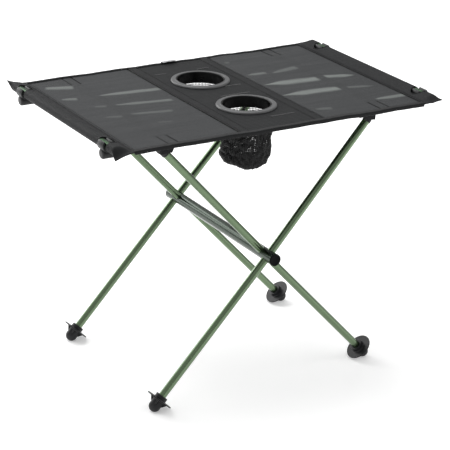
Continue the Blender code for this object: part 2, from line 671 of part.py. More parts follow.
def bag_shape(inner, rim):
    """A soft cup: a straight wall that curves in to a narrower flat floor."""
    floor_r = BAG_FLOOR_DIAMETER / 2
    floor = rim - BAG_DEPTH
    turn = inner - floor_r
    arc = [math.radians(step) for step in (90, 60, 30, 0)]
    inside = [(0, floor + BAG_WALL)]
    inside += [(floor_r + turn * math.cos(a), floor + BAG_WALL + turn * (1 - math.sin(a)))
               for a in arc]
    inside.append((inner, rim))
    outside = [(0, floor)]
    outside += [(floor_r + (turn + BAG_WALL) * math.cos(a),
                 floor + (turn + BAG_WALL) * (1 - math.sin(a))) for a in arc]
    outside.append((inner + BAG_WALL, rim))
    return turned(outside + list(reversed(inside)), BAG_SIDES)


def make_top(top):
    """Everything that lifts off with the fabric top."""
    make_panels(top)
    for end_label, end in ENDS:
        make_sleeve(end_label, end, top)
        make_side_rod(end_label, end, top)
        for side_label, side in SIDES:
            make_connector(f"{end_label}_{side_label}", end, side, top)
            make_pocket(f"{end_label}_{side_label}", end, side, top)
    for label, side in SIDES:
        make_tension_pole(label, side, top)
        make_cup_holder(label, side, top)


def main():
    clear_scene()
    outer = joint_empty("outer_frame_pivot", (0, 0, CROSSBAR_HEIGHT))
    inner = joint_empty("inner_frame_pivot", (0, 0, CROSSBAR_HEIGHT))
    top = joint_empty("table_top_lift", (0, 0, 0))
    make_leg_frame(outer, inner)
    make_top(top)


main()
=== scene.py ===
"""Looks of a folding camp kitchen table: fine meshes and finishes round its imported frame.

Metres, X along the table, Y across it and Z up, as in the frame. The legs, the crossbar and
the moulded pieces are turned outlines, cut and joined; the cloth top, its sleeves, hems and
pockets, and the netting of the cup holders are sheets that are shaped point by point.
"""
from __future__ import annotations

import json
import logging
import math
from contextlib import contextmanager
from dataclasses import dataclass, field
from enum import Enum
from typing import Callable, Iterable, Iterator, Sequence

import bpy
from mathutils import Matrix, Vector, noise


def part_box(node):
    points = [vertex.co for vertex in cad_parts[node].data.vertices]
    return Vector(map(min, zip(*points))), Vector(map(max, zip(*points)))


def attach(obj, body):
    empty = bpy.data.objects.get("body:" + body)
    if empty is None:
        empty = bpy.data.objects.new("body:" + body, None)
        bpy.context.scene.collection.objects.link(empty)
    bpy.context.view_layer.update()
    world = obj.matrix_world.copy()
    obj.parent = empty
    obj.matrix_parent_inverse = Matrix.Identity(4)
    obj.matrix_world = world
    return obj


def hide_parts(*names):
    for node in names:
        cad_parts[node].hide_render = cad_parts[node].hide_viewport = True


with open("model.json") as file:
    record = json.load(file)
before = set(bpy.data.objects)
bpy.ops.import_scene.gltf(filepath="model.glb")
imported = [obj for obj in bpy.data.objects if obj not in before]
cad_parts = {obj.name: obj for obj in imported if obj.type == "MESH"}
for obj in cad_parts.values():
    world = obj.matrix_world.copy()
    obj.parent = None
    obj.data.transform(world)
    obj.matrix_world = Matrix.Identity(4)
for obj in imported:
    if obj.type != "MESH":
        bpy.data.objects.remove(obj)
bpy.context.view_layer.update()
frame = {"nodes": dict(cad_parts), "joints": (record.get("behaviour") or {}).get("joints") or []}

LOG = logging.getLogger("camp_table")
SIDES = (("front", -1), ("rear", 1))
ENDS = (("left", -1), ("right", 1))
UP = Vector((0.0, 0.0, 1.0))
WELD = 1e-6
Point = Sequence[float]
Piece = bpy.types.Object


class Body(Enum):
    """The bodies of the frame that pieces ride on."""

    OUTER = "outer_legs"
    INNER = "inner_legs"
    TOP = "table_top"


# ---------------------------------------------------------------- small tools

def smooth(value: float) -> float:
    """Ease a value from 0 to 1, clamped at both ends."""
    t = max(0.0, min(1.0, value))
    return t * t * (3.0 - 2.0 * t)


def deselect() -> None:
    """Leave nothing selected and no object active."""
    for item in bpy.context.selected_objects:
        item.select_set(False)
    bpy.context.view_layer.objects.active = None


def pick(piece: Piece) -> None:
    """Select one object alone and make it active."""
    deselect()
    piece.select_set(True)
    bpy.context.view_layer.objects.active = piece


@contextmanager
def editing(piece: Piece, select: str = "SELECT") -> Iterator[None]:
    """Hold a piece in edit mode, with all of its mesh selected, or none with "DESELECT"."""
    pick(piece)
    bpy.ops.object.mode_set(mode="EDIT")
    bpy.ops.mesh.select_all(action=select)
    yield
    bpy.ops.object.mode_set(mode="OBJECT")


def weld(piece: Piece, distance: float = WELD) -> Piece:
    """Merge the points of a piece that lie closer than a distance."""
    with editing(piece):
        bpy.ops.mesh.remove_doubles(threshold=distance)
    return piece


def face_outwards(piece: Piece) -> Piece:
    """Make a piece's faces agree and turn them outwards."""
    with editing(piece):
        bpy.ops.mesh.normals_make_consistent(inside=False)
    return piece


def close_ends(piece: Piece) -> Piece:
    """Fill the open ends of a swept piece and turn its faces outwards."""
    with editing(piece, "DESELECT"):
        bpy.ops.mesh.select_non_manifold()
        bpy.ops.mesh.edge_face_add()
    return face_outwards(piece)


def place(piece: Piece, origin: Point, direction: Point = (0, 0, 1)) -> Piece:
    """Turn a piece's Z to a direction, move it, and put that into its mesh.

    Args:
        piece: an object modelled round the world origin.
        origin: where its local origin goes.
        direction: where its local Z points.
    Returns:
        The same object, at the origin, with its place in its mesh.
    """
    return settle(piece, aimed(origin, direction))


def aimed(origin: Point, direction: Point) -> Matrix:
    """The matrix that turns Z to a direction and moves the world's origin to a point."""
    turn = Vector(direction).to_track_quat("Z", "Y").to_matrix().to_4x4()
    return Matrix.Translation(Vector(origin)) @ turn


def settle(piece: Piece, matrix: Matrix) -> Piece:
    """Apply a matrix to a piece's mesh and leave its object unmoved."""
    piece.data.transform(matrix)
    piece.matrix_world = Matrix.Identity(4)
    if matrix.determinant() < 0:
        piece.data.flip_normals()
    piece.data.update()
    return piece


def duplicate(piece: Piece, name: str, matrix: Matrix) -> Piece:
    """Copy a piece with a mesh of its own, moved by a matrix."""
    copy = piece.copy()
    copy.data = piece.data.copy()
    copy.name = name
    copy.data.name = name
    bpy.context.scene.collection.objects.link(copy)
    return settle(copy, matrix)


def discard(piece: Piece) -> None:
    """Remove a pattern piece that was only there to be copied."""
    bpy.data.objects.remove(piece, do_unlink=True)


def apply_modifier(piece: Piece, kind: str, **settings: object) -> Piece:
    """Add a modifier with its settings and apply it at once."""
    modifier = piece.modifiers.new(kind.lower(), kind)
    for key, value in settings.items():
        setattr(modifier, key, value)
    pick(piece)
    bpy.ops.object.modifier_apply(modifier=modifier.name)
    return piece


def boolean(piece: Piece, tool: Piece, operation: str) -> Piece:
    """Cut or join a tool with a piece, and remove the tool."""
    apply_modifier(piece, "BOOLEAN", operation=operation, solver="EXACT", object=tool)
    discard(tool)
    return piece


def soften(piece: Piece, degrees: float = 32.0) -> Piece:
    """Shade a piece smooth, with creases sharper than an angle kept."""
    pick(piece)
    bpy.ops.object.shade_smooth_by_angle(angle=math.radians(degrees))
    deselect()
    return piece


def lathe(name: str, profile: Sequence[tuple[float, float]], sides: int = 48) -> Piece:
    """Turn an outline round Z, ring by ring, by extruding and scaling a circle.

    Args:
        name: the piece's name.
        profile: points of radius and height; a radius of 0 at an end closes it to a pole, and
            a last point equal to the first closes the section.
        sides: facets round the axis.
    Returns:
        The turned piece, with its faces pointing out.
    """
    closed = profile[0] == profile[-1]
    start_pole = profile[0][1] if profile[0][0] == 0 else None
    points = list(profile[1:]) if start_pole is not None else list(profile)
    deselect()
    radius, height = points[0]
    bpy.ops.mesh.primitive_circle_add(vertices=sides, radius=radius, location=(0, 0, height))
    piece = bpy.context.active_object
    piece.name = name
    bpy.ops.object.transform_apply(location=True, rotation=True, scale=True)
    with editing(piece):
        for next_radius, next_height in points[1:]:
            extrude(next_height - height)
            if next_radius == 0:
                bpy.ops.mesh.merge(type="CENTER")
            else:
                scale = next_radius / radius
                bpy.ops.transform.resize(value=(scale, scale, 1),
                                         center_override=(0, 0, next_height))
                radius = next_radius
            height = next_height
    if start_pole is not None:
        with editing(piece, "DESELECT"):
            bpy.ops.mesh.select_non_manifold()
            extrude(start_pole - points[0][1])
            bpy.ops.mesh.merge(type="CENTER")
    if closed:
        weld(piece)
    piece.data.name = name
    return soften(face_outwards(piece))


def extrude(rise: float) -> None:
    """Extrude what is selected along Z."""
    bpy.ops.mesh.extrude_region_move(TRANSFORM_OT_translate={"value": (0, 0, rise)})


def ring_section(*corners: tuple[float, float]) -> list[tuple[float, float]]:
    """A closed section for the lathe, from its corners."""
    return [*corners, corners[0]]


def round_corner(centre: tuple[float, float], radius: float, steps: int,
                 first: float = 0.0) -> list[tuple[float, float]]:
    """A quarter circle about a centre, from an angle in quarter turns, for an outline."""
    angles = (math.pi / 2 * (first + index / steps) for index in range(steps + 1))
    return [(centre[0] + radius * math.cos(a), centre[1] + radius * math.sin(a)) for a in angles]


def tube(name: str, start: Vector, end: Vector, outer: float, wall: float,
         sides: int = 40) -> Piece:
    """A hollow tube between two points, with its end edges broken by a small chamfer."""
    length = (end - start).length
    inner = outer - wall
    chamfer = wall * 0.3
    profile = [(inner, 0.0), (outer - chamfer, 0.0), (outer, chamfer), (outer, length - chamfer),
               (outer - chamfer, length), (inner, length), (inner, 0.0)]
    return place(lathe(name, profile, sides), start, end - start)


def rod(name: str, start: Vector, end: Vector, radius: float, sides: int = 40) -> Piece:
    """A plain closed rod between two points, used as a cutter."""
    length = (end - start).length
    return place(lathe(name, [(0, 0), (radius, 0), (radius, length), (0, length)], sides),
                 start, end - start)


def tube_along(node: str, name: str, axis: int, outer: float, wall: float) -> Piece:
    """A tube down the middle of a CAD node's box, along X (0) or Y (1)."""
    low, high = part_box(node)
    start, end = (low + high) / 2, (low + high) / 2
    start[axis], end[axis] = low[axis], high[axis]
    return tube(name, start, end, outer, wall)


def tube_axis(node: str, hub: Vector) -> tuple[Vector, Vector]:
    """The near and far end centres of a CAD tube, seen from a hub point."""
    points = [vertex.co.copy() for vertex in frame["nodes"][node].data.vertices]
    distances = [(point - hub).length for point in points]
    low, high = min(distances), max(distances)
    slack = 0.004
    near = [p for p, d in zip(points, distances) if d < low + slack]
    far = [p for p, d in zip(points, distances) if d > high - slack]
    return sum(near, Vector()) / len(near), sum(far, Vector()) / len(far)


def middle_of(node: str) -> Vector:
    """The centre of a CAD node's box."""
    low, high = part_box(node)
    return (low + high) / 2


def sheet_mesh(name: str, columns: int, rows: int, shape: Callable[[float, float], Point],
               uv_size: tuple[float, float], wrap: bool = False) -> Piece:
    """A cloth surface from a grid primitive, each point moved to its place.

    Args:
        name: the piece's name.
        columns: grid cells along u.
        rows: grid cells along v.
        shape: gives a point for u and v, both from 0 to 1.
        uv_size: real length of the cloth along u and v in metres, for its UV map.
        wrap: True where u = 0 and u = 1 meet, as on a bag.
    Returns:
        The surface, without thickness.
    """
    deselect()
    bpy.ops.mesh.primitive_grid_add(x_subdivisions=columns, y_subdivisions=rows, size=2.0)
    piece = bpy.context.active_object
    piece.name = name
    mesh = piece.data
    mesh.name = name
    flat = [((v.co.x + 1) / 2, (v.co.y + 1) / 2) for v in mesh.vertices]
    layer = mesh.uv_layers.active or mesh.uv_layers.new(name="UVMap")
    for loop in mesh.loops:
        u, v = flat[loop.vertex_index]
        layer.data[loop.index].uv = (u * uv_size[0], v * uv_size[1])
    for vertex, (u, v) in zip(mesh.vertices, flat):
        vertex.co = shape(u, v)
    if wrap:
        weld(piece)
    mesh.update()
    mesh.shade_smooth()
    deselect()
    return piece


def paint(piece: Piece, name: str, value: Callable[[Vector], float]) -> None:
    """Store a value from 0 to 1 at each point of a mesh, as an attribute."""
    layer = piece.data.attributes.get(name) or piece.data.attributes.new(name, "FLOAT", "POINT")
    values = [max(0.0, min(1.0, value(vertex.co))) for vertex in piece.data.vertices]
    layer.data.foreach_set("value", values)


def strand(name: str, paths: Iterable[Sequence[Vector]], radius: float, closed: bool = False,
           fineness: int = 2) -> Piece:
    """Round cord or thread along one or more paths, as one mesh.

    Args:
        name: the piece's name.
        paths: lists of points.
        radius: the strand's radius.
        closed: True where each path joins its own start.
        fineness: bevel resolution, 1 for thread and 2 or more for cord.
    Returns:
        The strand's mesh, with closed ends.
    """
    curve = bpy.data.curves.new(name, "CURVE")
    curve.dimensions = "3D"
    curve.bevel_depth = radius
    curve.bevel_resolution = fineness
    curve.use_fill_caps = True
    for path in paths:
        spline = curve.splines.new("POLY")
        spline.points.add(len(path) - 1)
        for point, co in zip(spline.points, path):
            point.co = (*co, 1.0)
        spline.use_cyclic_u = closed
    piece = bpy.data.objects.new(name, curve)
    bpy.context.scene.collection.objects.link(piece)
    pick(piece)
    bpy.ops.object.convert(target="MESH")
    piece = bpy.context.active_object
    piece.data.name = name
    piece.data.shade_smooth()
    deselect()
    return piece


# ---------------------------------------------------------------- finishes

class Graph:
    """A node tree that nodes are added to and linked in by name."""

    def __init__(self, tree: bpy.types.NodeTree) -> None:
        """Keep the tree."""
        self.tree = tree

    def add(self, kind: str, inputs: dict[str | int, object] | None = None,
            **settings: object) -> bpy.types.Node:
        """Add a node, set its properties, and set or link its inputs."""
        node = self.tree.nodes.new(kind)
        for key, value in settings.items():
            setattr(node, key, value)
        return self.feed(node, inputs or {})

    def feed(self, node: bpy.types.Node, inputs: dict[str | int, object]) -> bpy.types.Node:
        """Link each input that is a socket, and set each one that is a value."""
        for key, value in inputs.items():
            if isinstance(value, bpy.types.NodeSocket):
                self.tree.links.new(value, node.inputs[key])
            else:
                node.inputs[key].default_value = value
        return node

    def noise(self, where: object, scale: object, **inputs: float) -> bpy.types.NodeSocket:
        """Noise at a place, at a scale."""
        named = {key.capitalize(): value for key, value in inputs.items()}
        node = self.add("ShaderNodeTexNoise", {"Vector": where, "Scale": scale, **named})
        return node.outputs[0]

    def bump(self, height: object, strength: float, distance: float) -> bpy.types.NodeSocket:
        """A normal bent by a height."""
        return self.add("ShaderNodeBump", {"Height": height, "Strength": strength,
                                           "Distance": distance}).outputs[0]

    def handling(self, where: object, scale: float) -> bpy.types.Node:
        """The shared handling marks at a scale."""
        return self.add("ShaderNodeGroup", {"Vector": where, "Scale": scale},
                        node_tree=handling_group())

    def maths(self, operation: str, first: object, second: object = 0.0) -> bpy.types.NodeSocket:
        """The result of a Math node on two values."""
        return self.add("ShaderNodeMath", {0: first, 1: second}, operation=operation).outputs[0]

    def blend(self, share: object, first: object, second: object) -> bpy.types.NodeSocket:
        """Two colours mixed by a share."""
        node = self.add("ShaderNodeMix", {0: share, 6: first, 7: second}, data_type="RGBA")
        return node.outputs[2]

    def spread(self, value: object, low: float, high: float) -> bpy.types.NodeSocket:
        """A 0 to 1 value brought between two limits."""
        return self.add("ShaderNodeMapRange", {0: value, 3: low, 4: high}).outputs[0]


def shared_group(name: str, inputs: dict[str, tuple[str, float]], outputs: Sequence[str],
                 build: Callable[[Graph, bpy.types.Node, bpy.types.Node], None]
                 ) -> bpy.types.NodeTree:
    """A node group that several finishes use, made once.

    Args:
        name: the group's name.
        inputs: socket names with their type and default.
        outputs: names of value outputs.
        build: adds the nodes between the group's input and output nodes.
    Returns:
        The group's tree.
    """
    found = bpy.data.node_groups.get(name)
    if found:
        return found
    tree = bpy.data.node_groups.new(name, "ShaderNodeTree")
    for key, (kind, default) in inputs.items():
        socket = tree.interface.new_socket(name=key, in_out="INPUT", socket_type=kind)
        if kind == "NodeSocketFloat":
            socket.default_value = default
    for key in outputs:
        tree.interface.new_socket(name=key, in_out="OUTPUT", socket_type="NodeSocketFloat")
    graph = Graph(tree)
    build(graph, graph.add("NodeGroupInput"), graph.add("NodeGroupOutput"))
    return tree


def weave_group() -> bpy.types.NodeTree:
    """Plain weave: crossing rounded threads, with uneven yarn."""

    def build(graph: Graph, source: bpy.types.Node, sink: bpy.types.Node) -> None:
        """Cross two sets of waves and roughen them with noise."""
        parts = graph.add("ShaderNodeSeparateXYZ", {0: source.outputs["Vector"]})
        turns = graph.maths("MULTIPLY", source.outputs["Threads"], math.tau)
        warp = graph.maths("SINE", graph.maths("MULTIPLY", parts.outputs[0], turns))
        weft = graph.maths("SINE", graph.maths("MULTIPLY", parts.outputs[1], turns))
        crossed = graph.maths("MULTIPLY", warp, weft)
        half = graph.maths("MULTIPLY", crossed, 0.5)
        yarn = graph.noise(source.outputs["Vector"], 900.0, detail=2.0)
        height = graph.maths("ADD", half, graph.maths("MULTIPLY", yarn, 0.8))
        graph.feed(sink, {"Height": height, "Thread": graph.maths("ADD", half, 0.5)})

    return shared_group("plain_weave", {"Vector": ("NodeSocketVector", 0.0),
                                        "Threads": ("NodeSocketFloat", 900.0)},
                        ("Height", "Thread"), build)


def handling_group() -> bpy.types.NodeTree:
    """Uneven handling marks: broad soft blotches broken by fine grain."""

    def build(graph: Graph, source: bpy.types.Node, sink: bpy.types.Node) -> None:
        """Mix a broad and a fine noise into one mask."""
        where, scale = source.outputs["Vector"], source.outputs["Scale"]
        broad = graph.noise(where, scale, detail=3.0, roughness=0.55)
        fine = graph.noise(where, graph.maths("MULTIPLY", scale, 14.0), detail=2.0)
        mixed = graph.maths("ADD", graph.maths("MULTIPLY", broad, 0.7),
                            graph.maths("MULTIPLY", fine, 0.3))
        graph.feed(sink, {"Marks": graph.spread(mixed, -0.6, 1.6), "Grain": fine})

    return shared_group("handling", {"Vector": ("NodeSocketVector", 0.0),
                                     "Scale": ("NodeSocketFloat", 30.0)},
                        ("Marks", "Grain"), build)


@dataclass(frozen=True)
class Finish:
    """What every finish has: its name, its colour and the record's slot it stands for."""

    name: str
    colour: tuple[float, float, float]
    slot: str

    def fresh(self) -> tuple[bpy.types.Material, Graph, bpy.types.Node]:
        """A new material with its graph and its Principled shader."""
        material = bpy.data.materials.new(self.name)
        material.use_nodes = True
        graph = Graph(material.node_tree)
        return material, graph, material.node_tree.nodes["Principled BSDF"]

    def tone(self, factor: float) -> tuple[float, float, float, float]:
        """The colour made lighter or darker."""
        return (*(min(1.0, channel * factor) for channel in self.colour), 1.0)

    def build(self) -> bpy.types.Material:
        """The material; each kind of finish makes its own."""
        raise NotImplementedError

    def material(self) -> bpy.types.Material:
        """The finish's material, made once."""
        return bpy.data.materials.get(self.name) or self.build()

    def dress(self, piece: Piece) -> Piece:
        """Give a piece this finish alone."""
        piece.data.materials.clear()
        piece.data.materials.append(self.material())
        for polygon in piece.data.polygons:
            polygon.material_index = 0
        return piece


@dataclass(frozen=True)
class Metal(Finish):
    """Anodised or plain metal, drawn along its length, with faint handling marks."""

    roughness: float = 0.25
    coat: float = 0.25
    mottling: float = 0.08

    def build(self) -> bpy.types.Material:
        """Colour, roughness and a fine bump from one set of marks."""
        material, graph, shader = self.fresh()
        where = graph.add("ShaderNodeTexCoord").outputs["Object"]
        marks = graph.handling(where, 22.0)
        spots = marks.outputs["Marks"]
        graph.feed(shader, {
            "Base Color": graph.blend(spots, self.tone(1 - self.mottling),
                                      self.tone(1 + self.mottling)),
            "Roughness": graph.spread(spots, self.roughness - 0.04, self.roughness + 0.05),
            "Normal": graph.bump(marks.outputs["Grain"], 0.06, 0.0002),
            "Metallic": 1.0, "Coat Weight": self.coat, "Coat Roughness": 0.10})
        return material


@dataclass(frozen=True)
class Moulded(Finish):
    """Moulded plastic or rubber with a fine spark-eroded grain."""

    roughness: float = 0.42
    grain: float = 0.25
    grain_scale: float = 1400.0
    specular: float = 0.4

    def build(self) -> bpy.types.Material:
        """Fine grain in the bump, soft marks in colour and roughness."""
        material, graph, shader = self.fresh()
        where = graph.add("ShaderNodeTexCoord").outputs["Object"]
        spots = graph.handling(where, 60.0).outputs["Marks"]
        cells = graph.noise(where, self.grain_scale, detail=1.0)
        graph.feed(shader, {
            "Base Color": graph.blend(spots, self.tone(0.88), self.tone(1.15)),
            "Roughness": graph.spread(spots, self.roughness - 0.05, self.roughness + 0.07),
            "Normal": graph.bump(cells, self.grain, 0.0002),
            "Specular IOR Level": self.specular})
        return material


@dataclass(frozen=True)
class Cloth(Finish):
    """Coated woven cloth, lighter where a highlight is painted and darker where shade is painted."""

    # Colour of the painted highlight, where light glints off the coating.
    painted_highlight: tuple[float, float, float] = (0.150, 0.163, 0.156)
    threads: float = 900.0
    roughness: float = 0.52
    sheen: float = 0.03
    bump: float = 0.35
    specular: float = 0.13

    def build(self) -> bpy.types.Material:
        """Weave in colour and bump, and the painted highlight and painted shade over it."""
        material, graph, shader = self.fresh()
        where = graph.add("ShaderNodeTexCoord").outputs["UV"]
        weave = graph.add("ShaderNodeGroup", {"Vector": where, "Threads": self.threads},
                          node_tree=weave_group())
        spots = graph.handling(where, 14.0).outputs["Marks"]
        # Painted highlight mask: the streaks where light glints off the coating.
        shine = graph.add("ShaderNodeAttribute", attribute_name="painted_highlight").outputs["Fac"]
        # Painted shade mask, kept in the seam attribute: seams, stitched lines, strap band and edges.
        seam = graph.add("ShaderNodeAttribute", attribute_name="seam").outputs["Fac"]
        woven = graph.blend(weave.outputs["Thread"], self.tone(0.86), self.tone(1.14))
        rubbed = graph.blend(graph.maths("MULTIPLY", spots, 0.22), woven, self.tone(1.35))
        lit = graph.blend(shine, rubbed, (*self.painted_highlight, 1.0))
        worn = graph.spread(spots, self.roughness - 0.04, self.roughness + 0.06)
        # Base colour: the painted highlight lightens the streaks, and painted shade darkens seams,
        # stitched lines and edges.
        graph.feed(shader, {
            "Base Color": graph.blend(graph.maths("MULTIPLY", seam, 0.85), lit, self.tone(0.18)),
            "Roughness": graph.maths("SUBTRACT", worn, graph.maths("MULTIPLY", shine, 0.15)),
            "Normal": graph.bump(weave.outputs["Height"], self.bump, 0.0003),
            "Specular IOR Level": self.specular, "Sheen Weight": self.sheen,
            "Sheen Roughness": 0.4})
        return material


GREEN_POLE = Metal("green_anodised_pole", (0.132, 0.196, 0.108), "anodised_green", 0.24, 0.6)
# Painted shade: the poles' anodised green made darker for the side rods, which lie in shade in the
# sleeve notches.
SHADED_ROD = Metal("green_anodised_rod_painted_shade", (0.026, 0.066, 0.026), "anodised_green", 0.30, 0.1)
DARK_BAR = Metal("dark_anodised_bar", (0.031, 0.047, 0.033), "anodised_dark", 0.26, 0.5)
PLAIN_ALLOY = Metal("mill_alloy", (0.60, 0.61, 0.62), "plain_alloy", 0.35, 0.0)
GROUND_STEEL = Metal("ground_steel", (0.45, 0.45, 0.46), "steel", 0.28, 0.0)
BLACK_NYLON = Moulded("black_nylon_moulding", (0.0110, 0.0113, 0.0125), "black_nylon", 0.38, 0.22,
                      specular=0.28)
COLLAR_BLACK = Moulded("collar_black_moulding", (0.003, 0.003, 0.0033), "black_nylon", 0.30, 0.1,
                       specular=0.2)
CAP_RUBBER = Moulded("cap_rubber_black", (0.003, 0.003, 0.0033), "cap_rubber", 0.6, 0.3, 1800.0,
                     0.08)
RING_GREY = Moulded("ring_grey_moulding", (0.082, 0.083, 0.085), "ring_grey", 0.36, 0.12)
PANEL_CLOTH = Cloth("panel_coated_cloth", (0.0310, 0.0325, 0.0340), "panel_fabric")
CENTRE_CLOTH = Cloth("centre_ribbed_cloth", (0.0072, 0.0077, 0.0084), "centre_fabric",
                     threads=600.0, roughness=0.58)
SLEEVE_CLOTH = Cloth("sleeve_doubled_cloth", (0.0095, 0.0100, 0.0108), "sleeve_fabric",
                     roughness=0.58)
TAPE = Cloth("hem_and_pocket_tape", (0.0085, 0.0088, 0.0095), "webbing", threads=700.0, bump=0.5)
NETTING = Moulded("bag_netting", (0.0065, 0.0065, 0.007), "mesh_black", 0.34, 0.5, 900.0)
DARK_THREAD = Cloth("dark_thread", (0.004, 0.004, 0.0045), "webbing", threads=2500.0, sheen=0.0,
                    specular=0.1)
LIGHT_THREAD = Cloth("light_thread", (0.150, 0.150, 0.150), "webbing", threads=2500.0, sheen=0.0)
LABEL_TAPE = Cloth("blank_label", (0.36, 0.36, 0.37), "webbing", threads=1500.0)
ELASTIC = Cloth("elastic_braid", (0.05, 0.05, 0.05), "elastic", threads=1200.0)


def mount(piece: Piece, body: Body, finish: Finish, *nodes: str) -> Piece:
    """Dress a finished piece, hang it on its body, and hide the CAD nodes it stands for."""
    finish.dress(piece)
    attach(piece, body.value)
    if nodes:
        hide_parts(*nodes)
    LOG.info("%s on %s, %d faces", piece.name, body.value, len(piece.data.polygons))
    return piece


# ---------------------------------------------------------------- leg frame

@dataclass
class LegFrame:
    """Poles, feet, arm tips and the crossbar that the poles meet on."""

    pole_radius: float = 0.0065
    pole_wall: float = 0.0009
    socket_clearance: float = 0.0003
    bar_radius: float = 0.01025
    bar_wall: float = 0.0012
    nose_radius: float = 0.010
    disc_radius: float = 0.023
    disc_low: float = 0.0115
    disc_high: float = 0.0135
    collar_radius: float = 0.0105
    collar_top: float = 0.0205
    socket_floor: float = 0.004
    tip_radius: float = 0.00725
    tip_length: float = 0.0075
    tip_wall: float = 0.003
    gap: float = 0.0003
    hub_z: float = field(default_factory=lambda: frame["joints"][0]["pos_m"][2])

    def body_of(self, part: str, end: str) -> Body:
        """The body that a leg or arm rides on."""
        return Body.OUTER if (end == "left") == (part == "leg") else Body.INNER

    def pole_line(self, node: str) -> tuple[Vector, Vector, Vector]:
        """The end of a pole at the crossbar, its far end, and its direction."""
        low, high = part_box(node)
        hub_y = low.y if abs(low.y) > abs(high.y) else high.y
        hub = Vector((0.0, hub_y - math.copysign(self.pole_radius, hub_y), self.hub_z))
        near, far = tube_axis(node, hub)
        return near, far, (far - near).normalized()

    def build(self) -> None:
        """Make every piece of the leg frame."""
        foot = self.foot_pattern()
        tip = self.tip_pattern()
        for side_name, _ in SIDES:
            for end_name, _ in ENDS:
                self.pole("leg", end_name, side_name, foot)
                self.pole("arm", end_name, side_name, tip)
        discard(foot)
        discard(tip)
        self.crossbar()
        self.inner_pieces()

    def pole(self, part: str, end: str, side: str, fitting: Piece) -> None:
        """A leg with its foot, or an arm with its tip.

        Args:
            part: "leg" or "arm".
            end: "left" or "right", where the pole goes.
            side: "front" or "rear".
            fitting: the pattern of the foot or tip, modelled with its local Z up the pole.
        """
        node = f"{part}_{end}_{side}"
        near, far, along = self.pole_line(node)
        body = self.body_of(part, end)
        mount(tube(f"{node}_tube", near, far, self.pole_radius, self.pole_wall), body,
              GREEN_POLE, node)
        if part == "leg":
            nose = far + along * (self.socket_floor + self.gap)
            foot = duplicate(fitting, f"foot_{end}_{side}_moulding", aimed(nose, -along))
            self.rest_on_ground(foot)
            mount(foot, body, BLACK_NYLON, f"foot_{end}_{side}")
        else:
            seat = far + along * (self.tip_wall + self.gap - self.tip_length)
            cap = duplicate(fitting, f"arm_tip_{end}_{side}_cap", aimed(seat, along))
            mount(cap, body, BLACK_NYLON, f"arm_tip_{end}_{side}")

    def rest_on_ground(self, foot: Piece) -> None:
        """Cut the small worn flat under a foot's nose, level with the ground."""
        with editing(foot):
            bpy.ops.mesh.bisect(plane_co=(0, 0, 0), plane_no=UP, use_fill=True, clear_inner=True)
        soften(foot)

    def foot_pattern(self) -> Piece:
        """A foot with a domed nose, disc, collar and four webs, its Z up the leg."""
        nose, disc = self.nose_radius, self.disc_radius
        low, high, collar, top = self.disc_low, self.disc_high, self.collar_radius, self.collar_top
        bore = self.pole_radius + self.socket_clearance
        edge = 0.0005
        dome = round_corner((0, 0), nose, 12, first=-1.0)
        flare, fillet = 0.0015, 0.0012
        profile = [
            (0, -nose), *dome[1:], (nose, low - flare), (nose + flare, low),
            (disc - edge, low), (disc, low + edge), (disc, high - edge), (disc - edge, high),
            (collar + fillet, high), (collar, high + fillet), (collar, top - edge),
            (collar - edge, top),
            (bore + edge, top), (bore, top - edge), (bore, self.socket_floor),
            (0, self.socket_floor)]
        foot = lathe("foot_pattern", profile, 64)
        for quarter in range(4):
            boolean(foot, self.gusset(math.radians(45 + 90 * quarter)), "UNION")
        return soften(foot)

    def gusset(self, turn: float) -> Piece:
        """A web between the nose and the disc, wide at the disc and narrow at the nose."""
        inner, outer, thick = self.nose_radius - 0.002, 0.0168, 0.0021
        low, high = self.disc_low - 0.0075, self.disc_low + 0.0008
        deselect()
        bpy.ops.mesh.primitive_cube_add(size=1.0, location=((inner + outer) / 2, 0,
                                                            (low + high) / 2))
        web = bpy.context.active_object
        web.scale = (outer - inner, thick, high - low)
        bpy.ops.object.transform_apply(location=True, rotation=True, scale=True)
        for vertex in web.data.vertices:
            if vertex.co.z < self.disc_low and vertex.co.x > self.nose_radius:
                vertex.co.x = self.nose_radius + 0.0006
        apply_modifier(web, "BEVEL", width=0.0004, segments=2)
        return settle(web, Matrix.Rotation(turn, 4, "Z"))

    def tip_pattern(self) -> Piece:
        """A moulded cap with a rounded nose and a rolled lip, its Z up the arm."""
        radius, length = self.tip_radius, self.tip_length
        bore = self.pole_radius + self.socket_clearance
        round_off, lip = 0.0024, 0.0003
        nose = round_corner((radius - round_off, length - round_off), round_off, 5)
        floor = length - self.tip_wall
        profile = [(0, floor), (bore, floor), (bore, 0), (radius - 0.0003, 0), (radius, 0.0004),
                   (radius, 0.002), (radius - lip, 0.0026), *nose, (0, length)]
        return soften(lathe("tip_pattern", profile, 40))

    def crossbar(self) -> None:
        """The three lengths of the crossbar, drilled for the poles, and its end caps."""
        self.bar_length("crossbar_tube", "crossbar_middle", Body.INNER,
                        [f"{part}_{side}" for side, _ in SIDES for part in ("arm_left", "leg_right")])
        for side_name, side in SIDES:
            self.bar_length(f"end_hub_{side_name}", f"end_hub_{side_name}_tube", Body.OUTER,
                            [f"arm_right_{side_name}", f"leg_left_{side_name}"])
            self.end_cap(side_name, side)

    def bar_length(self, node: str, name: str, body: Body, poles: Sequence[str]) -> None:
        """One length of the crossbar's tube, with a hole for each pole that enters it."""
        low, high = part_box(node)
        bar = tube(name, Vector((0, low.y, self.hub_z)), Vector((0, high.y, self.hub_z)),
                   self.bar_radius, self.bar_wall, 64)
        reach = 2 * self.bar_radius
        for pole in poles:
            near, _, along = self.pole_line(pole)
            boolean(bar, rod("drill", near - along * self.gap, near + along * reach,
                             self.pole_radius + self.socket_clearance), "DIFFERENCE")
        mount(soften(bar), body, DARK_BAR, node)

